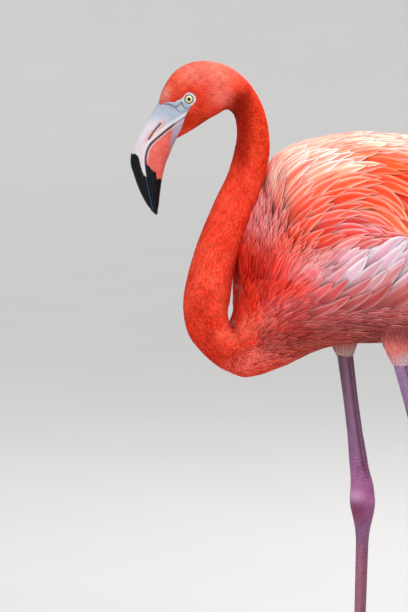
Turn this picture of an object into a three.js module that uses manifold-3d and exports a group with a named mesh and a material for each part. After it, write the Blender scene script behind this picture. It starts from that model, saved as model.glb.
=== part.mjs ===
// An American flamingo as a still, life-size model: standing, head lowered on an S-bent neck.
// Units are millimetres, +Z is up, and the bird faces -X, so that its left side is -Y.
// The feathered body is one loft from the tip of the bill to the rump. Thin cuts part it into
// bill, head, neck lengths, trunk and wings. Tail, legs, feet, claws and eyes are added to it.

import * as THREE from "three";
import { mergeVertices } from "three/addons/utils/BufferGeometryUtils.js";
import Module from "manifold-3d";

const wasm = await Module();
wasm.setup();

// ---------------------------------------------------------------- driving dimensions

const GAP = 0.3; // clear width of every cut between two pieces
const BODY_SIDES = 20; // points round one ring of the body loft
// Rings of a finished solid for each ring of its table.
const HEAD_STEPS = 1.15;
const NECK_STEPS = 1.6;
const BODY_STEPS = 1.15;
const BODY_FULLNESS = 2.15; // exponent of the rings' superellipse; 2 is an ellipse
const HEAD_TURN = THREE.MathUtils.degToRad(16); // how far the head looks to the bird's right
const TURN_AXIS_X = 22; // the head turns about a vertical line here, over the upper neck

const EYE = { x: -47.5, z: 730, radius: 6.6, sideways: 13.2 }; // in the head's own plane
const WING_DEPTH = 13; // thickness of the folded wing over the trunk
const WING_CLEAR_OF_SPINE = 9; // half the strip of back between the two wings
const LEG_SIDES = 12;
const TOE_SIDES = 8;
const CLAW_SIDES = 6;
const BEYOND = 200; // further out than any piece that a cut has to pass through

// One ring of the body: its highest (back) and lowest (belly) point in the bird's upright
// middle plane, half its width, and how much narrower it is towards the back (egg).
const ring = (back, belly, half, egg = 0) => ({ back, belly, half, egg });

const BILL_RINGS = [
  ring([-84.2, 602.6], [-82.6, 602.2], 0.9, 0),
  ring([-89.6, 607.5], [-81.8, 606], 3.2, 0.1),
  ring([-96.9, 618.6], [-80.6, 615], 5.6, 0.15),
  ring([-103.3, 632], [-79.4, 626], 7.8, 0.2),
  ring([-108.2, 646], [-77.6, 639], 9.4, 0.25),
  ring([-111.9, 659], [-75.6, 649], 10.6, 0.28),
  ring([-110.8, 672], [-73, 659], 11.4, 0.25),
  ring([-105.5, 685], [-69.6, 667], 11.8, 0.2),
  ring([-98, 699], [-66.4, 675], 11.6, 0.12),
  ring([-89.5, 712], [-63.6, 681], 11.4, 0.05),
];
const HEAD_RINGS = [
  ring([-82, 725], [-61, 686], 11.8, 0.04),
  ring([-78.5, 736], [-58.5, 687.5], 13.2, 0.06),
  ring([-72.5, 748], [-55, 689.5], 15.2, 0.08),
  ring([-62, 761], [-48, 693.5], 17.4, 0.1),
  ring([-46, 769.5], [-39, 699], 18.6, 0.1),
  ring([-28, 771.5], [-27, 707], 18.6, 0.08),
  ring([-8, 767], [-16, 713], 17.5, 0.04),
];
const NECK_RINGS = [
  ring([11, 755], [-7, 718], 16.3),
  ring([26, 737], [-1, 715.5], 15.4),
  ring([36, 715], [3, 708], 15.4),
  ring([40.5, 692], [5, 692], 16),
  ring([41, 668], [2, 672], 17),
  ring([34, 638], [-6, 646], 18.2),
  ring([24, 608], [-21, 616], 19.5),
  ring([5, 567], [-40, 572], 20.6),
  ring([-4.5, 528], [-53, 528], 21.6),
  ring([-7, 500], [-56, 499], 22.2),
  ring([-5.5, 487], [-50, 471], 22.6),
  ring([-2.5, 480], [-34, 450], 23.2),
  ring([0, 480.5], [-16, 434.5], 24.8),
  ring([1.2, 490], [-1, 427], 28.5),
];
const TRUNK_RINGS = [
  ring([7, 513], [12, 423], 35, 0.24),
  ring([5.5, 544], [27, 425], 46, 0.22),
  ring([14.5, 583], [43, 430], 57, 0.12),
  ring([32, 625], [62, 437], 68, 0.06),
  ring([43, 655], [82, 446], 76, 0.03),
  ring([62, 674], [102, 453], 83),
  ring([102, 686], [127, 457], 88),
  ring([153, 691], [160, 457], 91),
  ring([217, 685], [218, 456], 88),
  ring([288, 668], [290, 463], 79),
  ring([361, 636], [362, 478], 61),
  ring([434, 587], [435, 497], 37),
  ring([486, 545], [486, 512], 13),
];
const BODY_RINGS = [...BILL_RINGS, ...HEAD_RINGS, ...NECK_RINGS, ...TRUNK_RINGS];

// Places along the body, counted in rings from the tip of the bill.
const BILL_TIP = 0;
const HEAD_START = BILL_RINGS.length;
const NECK_START = HEAD_START + HEAD_RINGS.length;
const TRUNK_START = NECK_START + NECK_RINGS.length;
const RUMP_END = BODY_RINGS.length - 1;
const HEAD_TO_NECK = NECK_START + 0.4;
const UPPER_TO_MIDDLE = NECK_START + 5;
const MIDDLE_TO_LOWER = NECK_START + 8;
const NECK_TO_TRUNK = TRUNK_START - 0.9;
const TURN_FROM = NECK_START + 7; // below this ring the neck stays in the trunk's plane
const TURN_FULL = NECK_START; // above this ring the head's turn is complete

// Where the horn of the bill ends against the skin of the face, and the line of the closed
// mouth: both are curves in the head's plane.
const BILL_EDGE = [
  [-100, 752],
  [-82, 725.5],
  [-66, 724],
  [-53, 716],
  [-52, 707],
  [-57, 694],
  [-62, 684],
  [-72, 655],
];
const MOUTH_LINE = [
  [-44, 714],
  [-64, 702],
  [-78.5, 690.5],
  [-90, 680],
  [-94.8, 668],
  [-94.6, 654],
  [-91.5, 636],
  [-86, 610],
  [-82.6, 592],
];

// The folded wing seen from the side, from the bend of the wing round over the back.
const WING_OUTLINE = [
  [42, 545],
  [38, 592],
  [58, 636],
  [100, 664],
  [165, 674],
  [240, 665],
  [320, 638],
  [390, 600],
  [446, 558],
  [452, 532],
  [400, 502],
  [310, 494],
  [200, 501],
  [110, 512],
];

// The long feathers of a folded wing run from the upper edge of its tip to the lower edge.
// Places are for the bird's right side; the middle feathers reach furthest back.
const FLIGHT_FEATHERS = {
  count: 6,
  thickness: 4,
  bulge: 36,
  upper: { root: [352, 44, 606], tip: [468, 15, 553], width: 30, lean: 0.75 },
  lower: { root: [372, 50, 516], tip: [498, 24, 526], width: 24, lean: 0.1 },
};

// The tail is a short fan of flat feathers under the wing tips.
const TAIL = {
  count: 12,
  width: 22,
  thickness: 3.4,
  root: { x: 405, halfSpread: 9, z: 508 },
  tip: { x: 548, halfSpread: 42, z: 498 },
  outerShorter: 14,
  outerLower: 3,
};

// Share of a flat feather's half width at places from its root to its tip.
const BLADE_STATIONS = [
  { at: 0, share: 0.65 },
  { at: 0.7, share: 1 },
  { at: 1, share: 0.15 },
];

// Each leg hangs from the trunk at its cuff of feathers, bends at the ankle and stands on z = 0.
const LEGS = [
  {
    side: "left",
    hip: [176, -40, 500],
    cuff: [181, -42, 438],
    ankle: [226, -44, 276],
    foot: [236, -47, 0],
  },
  {
    side: "right",
    hip: [138, 40, 500],
    cuff: [144, 43, 441],
    ankle: [167.5, 45, 272],
    foot: [161, 47, 0],
  },
];
// Half depths (along x) and half widths (along y) of a leg, at heights above its ankle.
const SHANK_RINGS = [
  { above: 190, depth: 8.6, width: 6.8 },
  { above: 165, depth: 9, width: 7 },
  { above: 120, depth: 8.3, width: 6.7 },
  { above: 80, depth: 8.7, width: 6.7 },
  { above: 40, depth: 11, width: 8 },
  { above: 18, depth: 13.2, width: 9.8 },
  { above: 4, depth: 13.6, width: 10.8 },
];
const TARSUS_RINGS = [
  { above: -5, depth: 13.6, width: 11 },
  { above: -17, depth: 12, width: 10 },
  { above: -30, depth: 8.8, width: 7.8 },
  { above: -46, depth: 7.2, width: 6.3 },
  { above: -140, depth: 6.5, width: 5.7 },
  { above: -225, depth: 6.8, width: 6 },
];
const INSTEP_HEIGHT = 20; // the tarsus meets the foot here
const SHANK_IN_CUFF = 14; // how far the shank reaches up inside the cuff
const CUFF = { topDepth: 30, topWidth: 25, bottomDepth: 10.5, bottomWidth: 8.8 };
const CUFF_STATIONS = [0, 0.25, 0.5, 0.72, 0.88, 1];

// Toes fan out forwards from the foot: angle from straight ahead (outwards is positive).
const TOES = [
  { name: "inner", angle: -30, length: 62 },
  { name: "middle", angle: 2, length: 79 },
  { name: "outer", angle: 33, length: 71 },
];
const HIND_TOE = { angle: 172, length: 15, lift: 9 };
const TOE = { steps: 3, rootRadius: 6, tipRadius: 3.7, squash: 0.8, sink: 0.75 };
const WEB = { thickness: 1.8, lift: 0.7, heel: 4, reach: 0.9, notch: 0.41 };
const CLAW = {
  steps: 3,
  length: 9.5,
  radius: 2.9,
  tipRadius: 0.7,
  narrow: 0.8,
  arch: 0.8,
  sole: [0.6, 0.3],
};
// The knob over the toes, from the instep down to the flat of the sole.
const HUB_RINGS = [
  { z: 13, forward: 0, depth: 8.2, width: 7.8 },
  { z: 7, forward: 1, depth: 9.4, width: 9.2 },
  { z: 2, forward: 2, depth: 9.4, width: 9 },
  { z: 0, forward: 2, depth: 8.6, width: 8.2 },
];

// ---------------------------------------------------------------- curves

const lerp = THREE.MathUtils.lerp;
const smoothstep = (x, low, high) => THREE.MathUtils.smoothstep(x, low, high);

// Catmull-Rom curve through evenly spaced numbers, read at a fractional position.
function through(values, at) {
  const i = Math.min(Math.floor(at), values.length - 2);
  const f = at - i;
  const [b, c] = [values[i], values[i + 1]];
  const a = i > 0 ? values[i - 1] : 2 * b - c;
  const d = i + 2 < values.length ? values[i + 2] : 2 * c - b;
  const slopeB = (c - a) / 2;
  const slopeC = (d - b) / 2;
  const f2 = f * f;
  const f3 = f2 * f;
  return (
    b * (2 * f3 - 3 * f2 + 1) + slopeB * (f3 - 2 * f2 + f) + c * (3 * f2 - 2 * f3) + slopeC * (f3 - f2)
  );
}

// A smooth line through a few points in the upright plane, as a list of [x, z].
function smoothLine(points, steps) {
  const curve = new THREE.CatmullRomCurve3(points.map(([x, z]) => new THREE.Vector3(x, 0, z)));
  return curve.getPoints(steps).map((p) => [p.x, p.z]);
}

// Turns a point of the head's plane about the upper neck's vertical line.
function turned(point, angle) {
  const x = point.x - TURN_AXIS_X;
  const c = Math.cos(angle);
  const s = Math.sin(angle);
  return new THREE.Vector3(TURN_AXIS_X + x * c + point.y * s, point.y * c - x * s, point.z);
}

const turnAt = (at) => HEAD_TURN * smoothstep(TURN_FROM - at, 0, TURN_FROM - TURN_FULL);

// ---------------------------------------------------------------- solids from rings

// Closes a stack of rings, each a list of the same number of points, with flat ends.
function stackRings(rings) {
  const sides = rings[0].length;
  const positions = rings.flat().flatMap((p) => [p.x, p.y, p.z]);
  const index = [];
  for (let r = 0; r + 1 < rings.length; r++) {
    for (let i = 0; i < sides; i++) {
      const a = r * sides + i;
      const b = r * sides + ((i + 1) % sides);
      index.push(a, b, a + sides, b, b + sides, a + sides);
    }
  }
  for (const [r, flip] of [
    [0, true],
    [rings.length - 1, false],
  ]) {
    const centre = new THREE.Vector3();
    for (const p of rings[r]) centre.addScaledVector(p, 1 / sides);
    const hub = positions.length / 3;
    positions.push(centre.x, centre.y, centre.z);
    for (let i = 0; i < sides; i++) {
      const a = r * sides + i;
      const b = r * sides + ((i + 1) % sides);
      index.push(...(flip ? [b, a, hub] : [a, b, hub]));
    }
  }
  const geometry = new THREE.BufferGeometry();
  geometry.setAttribute("position", new THREE.Float32BufferAttribute(positions, 3));
  geometry.setIndex(index);
  return geometry;
}

// A closed mesh as a manifold solid, faces turned outwards if they point in.
function solid(geometry) {
  const bare = new THREE.BufferGeometry();
  bare.setAttribute("position", geometry.getAttribute("position"));
  if (geometry.index) bare.setIndex(geometry.index);
  const merged = mergeVertices(bare, 1e-4);
  const triVerts = new Uint32Array(merged.index.array);
  const vertProperties = new Float32Array(merged.attributes.position.array);
  const made = new wasm.Manifold(new wasm.Mesh({ numProp: 3, vertProperties, triVerts }));
  if (made.volume() >= 0) return made;
  for (let i = 0; i < triVerts.length; i += 3) {
    [triVerts[i], triVerts[i + 1]] = [triVerts[i + 1], triVerts[i]];
  }
  return new wasm.Manifold(new wasm.Mesh({ numProp: 3, vertProperties, triVerts }));
}

function geometryOf(manifold) {
  const mesh = manifold.getMesh();
  const geometry = new THREE.BufferGeometry();
  geometry.setAttribute("position", new THREE.BufferAttribute(mesh.vertProperties, 3));
  geometry.setIndex(new THREE.BufferAttribute(mesh.triVerts, 1));
  return geometry;
}

// The separate bodies of a solid, largest first.
const bodiesOf = (manifold) => manifold.decompose().sort((a, b) => b.volume() - a.volume());
const largest = (manifold) => bodiesOf(manifold)[0];
const joined = (manifolds) => manifolds.reduce((sum, one) => sum.add(one));

// An outline in the upright x-z plane, pushed through from one y to another.
function slab(outline, fromY, toY) {
  const shape = new THREE.Shape(outline.map(([x, z]) => new THREE.Vector2(x, z)));
  const geometry = new THREE.ExtrudeGeometry(shape, { depth: toY - fromY, bevelEnabled: false });
  geometry.rotateX(Math.PI / 2); // the shape's y becomes z, and its depth runs along -y
  geometry.translate(0, toY, 0);
  return solid(geometry);
}

// A wall of the gap's width that follows a line in the upright plane, for parting a solid.
function parting(line) {
  const side = (sign) =>
    line.map(([x, z], i) => {
      const [x0, z0] = line[Math.max(i - 1, 0)];
      const [x1, z1] = line[Math.min(i + 1, line.length - 1)];
      const length = Math.hypot(x1 - x0, z1 - z0);
      const out = (sign * GAP) / 2 / length;
      return [x - (z1 - z0) * out, z + (x1 - x0) * out];
    });
  return slab([...side(1), ...side(-1).reverse()], -BEYOND, BEYOND);
}

// An outline moved outwards by a distance (inwards if negative); it runs anticlockwise or not.
function grown(outline, distance) {
  const count = outline.length;
  const area = outline.reduce((sum, [x, z], i) => {
    const [x1, z1] = outline[(i + 1) % count];
    return sum + x * z1 - x1 * z;
  }, 0);
  return outline.map(([x, z], i) => {
    const [x0, z0] = outline[(i + count - 1) % count];
    const [x1, z1] = outline[(i + 1) % count];
    const out = (Math.sign(area) * distance) / Math.hypot(x1 - x0, z1 - z0);
    return [x + (z1 - z0) * out, z - (x1 - x0) * out];
  });
}

// ---------------------------------------------------------------- the body loft

// The points round the body at one place, grown outwards by a distance.
function bodyRing(at, grow = 0) {
  const read = (get) => through(BODY_RINGS.map(get), at);
  const back = new THREE.Vector2(read((r) => r.back[0]), read((r) => r.back[1]));
  const belly = new THREE.Vector2(read((r) => r.belly[0]), read((r) => r.belly[1]));
  const half = Math.max(read((r) => r.half) + grow, 0.4);
  const egg = read((r) => r.egg);
  const middle = back.clone().add(belly).multiplyScalar(0.5);
  const reach = back.clone().sub(middle);
  reach.setLength(Math.max(reach.length() + grow, 0.4));
  const power = 2 / BODY_FULLNESS;
  const points = [];
  for (let i = 0; i < BODY_SIDES; i++) {
    const angle = (2 * Math.PI * (i + 0.5)) / BODY_SIDES;
    const [c, s] = [Math.cos(angle), Math.sin(angle)];
    const along = Math.sign(c) * Math.abs(c) ** power;
    const across = Math.sign(s) * Math.abs(s) ** power;
    const y = half * across * (1 - egg * along);
    const p = new THREE.Vector3(middle.x + reach.x * along, y, middle.y + reach.y * along);
    points.push(turned(p, turnAt(at)));
  }
  return points;
}

// The way the ring at one place faces, towards the tail.
function facing(at) {
  const points = bodyRing(at);
  const third = Math.floor(BODY_SIDES / 3);
  const u = points[third].clone().sub(points[0]);
  const v = points[2 * third].clone().sub(points[0]);
  return u.cross(v).normalize();
}

// A length of the body between two places, its flat ends moved apart from its neighbours'.
function bodyLength(from, to, stepsPerRing, { cutStart = true, cutEnd = true, grow = 0 } = {}) {
  const steps = Math.max(2, Math.round((to - from) * stepsPerRing));
  const rings = [];
  for (let i = 0; i <= steps; i++) rings.push(bodyRing(lerp(from, to, i / steps), grow));
  const towards = rings[1][0].clone().sub(rings[0][0]);
  const sense = Math.sign(towards.dot(facing(from))) || 1;
  const shift = (points, at, amount) =>
    points.map((p) => p.clone().addScaledVector(facing(at), sense * amount));
  if (cutStart) rings[0] = shift(rings[0], from, GAP / 2);
  if (cutEnd) rings[steps] = shift(rings[steps], to, -GAP / 2);
  return solid(stackRings(rings));
}

// ---------------------------------------------------------------- head, bill and eyes

function headParts() {
  const whole = bodyLength(BILL_TIP, HEAD_TO_NECK, HEAD_STEPS, { cutStart: false });
  const turnAll = (manifold) => {
    const geometry = geometryOf(manifold);
    const position = geometry.getAttribute("position");
    for (let i = 0; i < position.count; i++) {
      const p = turned(new THREE.Vector3().fromBufferAttribute(position, i), HEAD_TURN);
      position.setXYZ(i, p.x, p.y, p.z);
    }
    return solid(geometry);
  };
  const edge = turnAll(parting(smoothLine(BILL_EDGE, 9)));
  const [skull, bill] = bodiesOf(whole.subtract(edge));
  const mouth = turnAll(parting(smoothLine(MOUTH_LINE, 11)));
  const foremost = (manifold) => manifold.boundingBox().min[0];
  const halves = bodiesOf(bill.subtract(mouth)).slice(0, 2);
  const [upper, lower] = halves.sort((a, b) => foremost(a) - foremost(b));

  const eyes = [-1, 1].map((side) => {
    const centre = turned(new THREE.Vector3(EYE.x, side * EYE.sideways, EYE.z), HEAD_TURN);
    const ball = (radius) => {
      const geometry = new THREE.IcosahedronGeometry(radius, 2);
      geometry.translate(centre.x, centre.y, centre.z);
      return solid(geometry);
    };
    return { ball: ball(EYE.radius), socket: ball(EYE.radius + GAP) };
  });
  const head = largest(skull.subtract(eyes[0].socket).subtract(eyes[1].socket));
  return { head, upper, lower, leftEye: eyes[0].ball, rightEye: eyes[1].ball };
}

// ---------------------------------------------------------------- trunk, wings and tail

// A long flat feather: a thin lozenge in section, blunt at the root and rounded at the tip.
function blade({ root, tip, width, thickness, lean }) {
  const from = new THREE.Vector3(...root);
  const to = new THREE.Vector3(...tip);
  const ahead = to.clone().sub(from).normalize();
  const broad = new THREE.Vector3(0, Math.sin(lean), Math.cos(lean));
  broad.addScaledVector(ahead, -broad.dot(ahead)).normalize();
  const thin = ahead.clone().cross(broad);
  const rings = BLADE_STATIONS.map(({ at, share }) =>
    [0, 1, 2, 3].map((k) =>
      from
        .clone()
        .lerp(to, at)
        .addScaledVector(broad, (width / 2) * share * Math.cos((k * Math.PI) / 2))
        .addScaledVector(thin, (thickness / 2) * Math.sin((k * Math.PI) / 2)),
    ),
  );
  return solid(stackRings(rings));
}

function flightFeathers(side) {
  const { count, thickness, bulge, upper, lower } = FLIGHT_FEATHERS;
  const feathers = Array.from({ length: count }, (_, i) => {
    const t = i / (count - 1);
    const between = (a, b) => [lerp(a[0], b[0], t), side * lerp(a[1], b[1], t), lerp(a[2], b[2], t)];
    const tip = between(upper.tip, lower.tip);
    tip[0] += bulge * Math.sin(Math.PI * lerp(0.25, 0.85, t));
    return blade({
      root: between(upper.root, lower.root),
      tip,
      width: lerp(upper.width, lower.width, t),
      thickness,
      lean: side * lerp(upper.lean, lower.lean, t),
    });
  });
  return joined(feathers);
}

function tailFan() {
  const { count, width, thickness, root, tip, outerShorter, outerLower } = TAIL;
  const feathers = Array.from({ length: count }, (_, i) => {
    const t = (2 * i) / (count - 1) - 1;
    return blade({
      root: [root.x, root.halfSpread * t, root.z],
      tip: [tip.x - outerShorter * t * t, tip.halfSpread * t, tip.z - outerLower * t * t],
      width,
      thickness,
      lean: Math.PI / 2,
    });
  });
  return joined(feathers);
}

function trunkParts() {
  const uncut = (grow) =>
    bodyLength(NECK_TO_TRUNK, RUMP_END, BODY_STEPS, { cutStart: false, cutEnd: false, grow });
  const whole = bodyLength(NECK_TO_TRUNK, RUMP_END, BODY_STEPS, { cutEnd: false });
  const wholeGrown = uncut(GAP);
  const core = uncut(-WING_DEPTH - GAP / 2);
  const coreGrown = uncut(-WING_DEPTH + GAP / 2);
  const outline = smoothLine([...WING_OUTLINE, WING_OUTLINE[0]], 20).slice(0, -1);

  let trunk = whole;
  const wings = [-1, 1].map((side) => {
    const prism = (grow) => {
      const inner = WING_CLEAR_OF_SPINE - grow;
      const shape = grown(outline, grow);
      return side < 0 ? slab(shape, -BEYOND, -inner) : slab(shape, inner, BEYOND);
    };
    const space = prism(-GAP / 2);
    trunk = trunk.subtract(prism(GAP / 2).subtract(core));
    const shell = whole.intersect(space).subtract(coreGrown);
    const kept = flightFeathers(side).subtract(wholeGrown.subtract(space)).subtract(coreGrown);
    return largest(shell.add(kept));
  });
  const tail = largest(tailFan().subtract(wholeGrown));
  return { trunk: largest(trunk), leftWing: wings[0], rightWing: wings[1], tail, wholeGrown };
}

// ---------------------------------------------------------------- legs and feet

// A level ring of a leg: an ellipse of a half depth along x and a half width along y.
function legRing(centre, depth, width) {
  return Array.from({ length: LEG_SIDES }, (_, i) => {
    const angle = (2 * Math.PI * i) / LEG_SIDES;
    return centre.clone().add(new THREE.Vector3(depth * Math.cos(angle), width * Math.sin(angle), 0));
  });
}

// The middle of a leg at a height: straight from cuff to ankle and from ankle to foot.
function legMiddle(leg, z) {
  const [hx, hy, hz] = leg.cuff;
  const [ax, ay, az] = leg.ankle;
  const [fx, fy, fz] = leg.foot;
  const [x0, y0, z0, x1, y1, z1] = z > az ? [ax, ay, az, hx, hy, hz] : [fx, fy, fz, ax, ay, az];
  const t = (z - z0) / (z1 - z0);
  return new THREE.Vector3(lerp(x0, x1, t), lerp(y0, y1, t), z);
}

function legLength(leg, table, topZ, bottomZ) {
  const az = leg.ankle[2];
  const read = (get, z) => {
    const heights = table.map((r) => az + r.above);
    let i = heights.findIndex((h) => h <= z);
    i = i < 0 ? heights.length - 1 : Math.max(i, 1);
    const t = THREE.MathUtils.clamp((heights[i - 1] - z) / (heights[i - 1] - heights[i]), 0, 1);
    return through(table.map(get), i - 1 + t);
  };
  const inside = table.map((r) => az + r.above).filter((z) => z < topZ - 2 && z > bottomZ + 2);
  const rings = [topZ, ...inside, bottomZ].map((z) =>
    legRing(legMiddle(leg, z), read((r) => r.depth, z), read((r) => r.width, z)),
  );
  return solid(stackRings(rings));
}

// The cuff of feathers over the top of the leg, below the trunk's own outline.
function thigh(leg) {
  const rings = CUFF_STATIONS.map((t) => {
    const centre = new THREE.Vector3(...leg.hip).lerp(new THREE.Vector3(...leg.cuff), t);
    const taper = 1 - t ** 1.6;
    return legRing(
      centre,
      lerp(CUFF.bottomDepth, CUFF.topDepth, taper),
      lerp(CUFF.bottomWidth, CUFF.topWidth, taper),
    );
  });
  return solid(stackRings(rings));
}

// A bar that runs out level from the middle of the foot, turned by an angle from straight
// ahead. For each share of its length, section gives a radius across, one upright, and a height.
function outwards(angle, sides, steps, section) {
  const ahead = new THREE.Vector3(-Math.cos(angle), Math.sin(angle), 0);
  const aside = new THREE.Vector3(-ahead.y, ahead.x, 0);
  const rings = Array.from({ length: steps + 1 }, (_, i) => {
    const { reach, across, upright, height } = section(i / steps);
    const centre = ahead.clone().multiplyScalar(reach).setZ(height);
    return Array.from({ length: sides }, (_, k) => {
      const turn = (2 * Math.PI * k) / sides;
      const rise = new THREE.Vector3(0, 0, upright * Math.sin(turn));
      return centre.clone().addScaledVector(aside, across * Math.cos(turn)).add(rise);
    });
  });
  return solid(stackRings(rings));
}

// A toe is a tapering bar, a little flattened and sunk into the sole's plane.
function toeBar(angle, length, lift = 0) {
  return outwards(angle, TOE_SIDES, TOE.steps, (t) => {
    const across = lerp(TOE.rootRadius, TOE.tipRadius, t);
    const upright = across * TOE.squash;
    return { reach: length * t, across, upright, height: upright * TOE.sink + lift };
  });
}

// A claw is a blunt cone, a little arched, clear of the toe and of the floor.
function clawCone(angle, length, lift = 0) {
  return outwards(angle, CLAW_SIDES, CLAW.steps, (t) => {
    const upright = lerp(CLAW.radius, CLAW.tipRadius, t);
    const height = lift + upright + lerp(...CLAW.sole, t) + CLAW.arch * Math.sin(Math.PI * t);
    return { reach: length + GAP + CLAW.length * t, across: upright * CLAW.narrow, upright, height };
  });
}

// The skin stretched between two toes, its front edge drawn back in a curve.
function webBetween(first, second) {
  const tip = (toe) => {
    const reach = toe.length * WEB.reach;
    return new THREE.Vector2(-Math.cos(toe.turn) * reach, Math.sin(toe.turn) * reach);
  };
  const [a, b] = [tip(first), tip(second)];
  const notch = a.clone().add(b).multiplyScalar(WEB.notch);
  const shape = new THREE.Shape();
  shape.moveTo(WEB.heel, 0);
  shape.lineTo(a.x, a.y);
  shape.quadraticCurveTo(notch.x, notch.y, b.x, b.y);
  shape.closePath();
  const geometry = new THREE.ExtrudeGeometry(shape, {
    depth: WEB.thickness,
    bevelEnabled: false,
    curveSegments: 5,
  });
  geometry.translate(0, 0, WEB.lift);
  return solid(geometry);
}

function footParts(leg) {
  const outer = leg.side === "left" ? -1 : 1;
  const toes = TOES.map((toe) => ({ ...toe, turn: outer * THREE.MathUtils.degToRad(toe.angle) }));
  const hindTurn = outer * THREE.MathUtils.degToRad(HIND_TOE.angle);
  const at = new THREE.Vector3(...leg.foot);
  const instep = legMiddle(leg, INSTEP_HEIGHT - GAP).sub(at);
  const end = TARSUS_RINGS.at(-1);
  const hub = solid(
    stackRings([
      legRing(instep, end.depth, end.width),
      ...HUB_RINGS.map((r) => legRing(new THREE.Vector3(-r.forward, 0, r.z), r.depth, r.width)),
    ]),
  );
  const floor = new THREE.BoxGeometry(BEYOND, BEYOND, BEYOND).translate(0, 0, -BEYOND / 2);
  const foot = joined([
    hub,
    ...toes.map((toe) => toeBar(toe.turn, toe.length)),
    toeBar(hindTurn, HIND_TOE.length, HIND_TOE.lift),
    webBetween(toes[0], toes[1]),
    webBetween(toes[1], toes[2]),
  ]).subtract(solid(floor));
  const claws = toes.map((toe) => ({ name: toe.name, made: clawCone(toe.turn, toe.length) }));
  claws.push({ name: "hind", made: clawCone(hindTurn, HIND_TOE.length, HIND_TOE.lift + 1) });
  return { foot: largest(foot), claws, at };
}

// ---------------------------------------------------------------- assembly

const FINISH = {
  neckFeathers: new THREE.MeshStandardMaterial({ color: 0xf0432c, roughness: 0.75, metalness: 0 }),
  bodyFeathers: new THREE.MeshStandardMaterial({ color: 0xe8705c, roughness: 0.75, metalness: 0 }),
  wingFeathers: new THREE.MeshStandardMaterial({ color: 0xf4977e, roughness: 0.7, metalness: 0 }),
  tailFeathers: new THREE.MeshStandardMaterial({ color: 0xf0b5a8, roughness: 0.7, metalness: 0 }),
  cuff: new THREE.MeshStandardMaterial({ color: 0xd9a79b, roughness: 0.8, metalness: 0 }),
  legSkin: new THREE.MeshStandardMaterial({ color: 0xa9628a, roughness: 0.55, metalness: 0 }),
  horn: new THREE.MeshStandardMaterial({ color: 0xd8a3a6, roughness: 0.4, metalness: 0 }),
  claw: new THREE.MeshStandardMaterial({ color: 0x3a2a2c, roughness: 0.45, metalness: 0 }),
  eye: new THREE.MeshStandardMaterial({ color: 0xe6dc8c, roughness: 0.1, metalness: 0 }),
};

const bird = new THREE.Group();

function addPart(name, manifold, material, group = bird) {
  const mesh = new THREE.Mesh(geometryOf(manifold), material);
  mesh.name = name;
  group.add(mesh);
  return mesh;
}

const face = headParts();
addPart("head", face.head, FINISH.neckFeathers);
addPart("bill_upper", face.upper, FINISH.horn);
addPart("bill_lower", face.lower, FINISH.horn);
addPart("eye_left", face.leftEye, FINISH.eye);
addPart("eye_right", face.rightEye, FINISH.eye);

addPart("neck_upper", bodyLength(HEAD_TO_NECK, UPPER_TO_MIDDLE, NECK_STEPS), FINISH.neckFeathers);
addPart("neck_middle", bodyLength(UPPER_TO_MIDDLE, MIDDLE_TO_LOWER, NECK_STEPS), FINISH.neckFeathers);
addPart("neck_lower", bodyLength(MIDDLE_TO_LOWER, NECK_TO_TRUNK, NECK_STEPS), FINISH.neckFeathers);

const body = trunkParts();
addPart("wing_left", body.leftWing, FINISH.wingFeathers);
addPart("wing_right", body.rightWing, FINISH.wingFeathers);
addPart("tail", body.tail, FINISH.tailFeathers);

let trunk = body.trunk;
for (const leg of LEGS) {
  const ankle = leg.ankle[2];
  const shankTop = leg.cuff[2] + SHANK_IN_CUFF;
  const shank = legLength(leg, SHANK_RINGS, shankTop, ankle + GAP / 2);
  const roomier = SHANK_RINGS.map((r) => ({ ...r, depth: r.depth + GAP, width: r.width + GAP }));
  const sleeve = legLength(leg, roomier, shankTop + GAP, ankle);
  const cuff = thigh(leg).subtract(body.wholeGrown).subtract(sleeve);
  addPart(`thigh_${leg.side}`, largest(cuff), FINISH.cuff);
  trunk = trunk.subtract(sleeve);
  addPart(`shank_${leg.side}`, shank.subtract(body.wholeGrown), FINISH.legSkin);
  const tarsus = legLength(leg, TARSUS_RINGS, ankle - GAP / 2, INSTEP_HEIGHT);
  addPart(`tarsus_${leg.side}`, tarsus, FINISH.legSkin);
  const { foot, claws, at } = footParts(leg);
  addPart(`foot_${leg.side}`, foot, FINISH.legSkin).position.copy(at);
  for (const claw of claws) {
    addPart(`claw_${leg.side}_${claw.name}`, claw.made, FINISH.claw).position.copy(at);
  }
}
addPart("trunk", largest(trunk), FINISH.bodyFeathers);

// The origin is on the floor, under the middle of the whole bird's box.
const box = new THREE.Box3().setFromObject(bird, true);
bird.position.set(-(box.min.x + box.max.x) / 2, -(box.min.y + box.max.y) / 2, -box.min.z);

const model = new THREE.Group();
model.add(bird);

export default model;
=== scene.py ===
"""A life-size museum model of a flamingo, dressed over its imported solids.

The bird is one loft of slightly squared rings from the tip of its bill to its rump. The
feathers are rooted on that loft and laid over it along the lie of the coat, the skin runs
inside it by the depth of the coat, and the bill, eyes and claws are pieces of their own.
Lengths are in millimetres in the maker's own frame until a mesh is written in metres.
"""

from __future__ import annotations

import logging
import math
from collections.abc import Callable, Sequence
from dataclasses import dataclass, field
from enum import Enum

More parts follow.
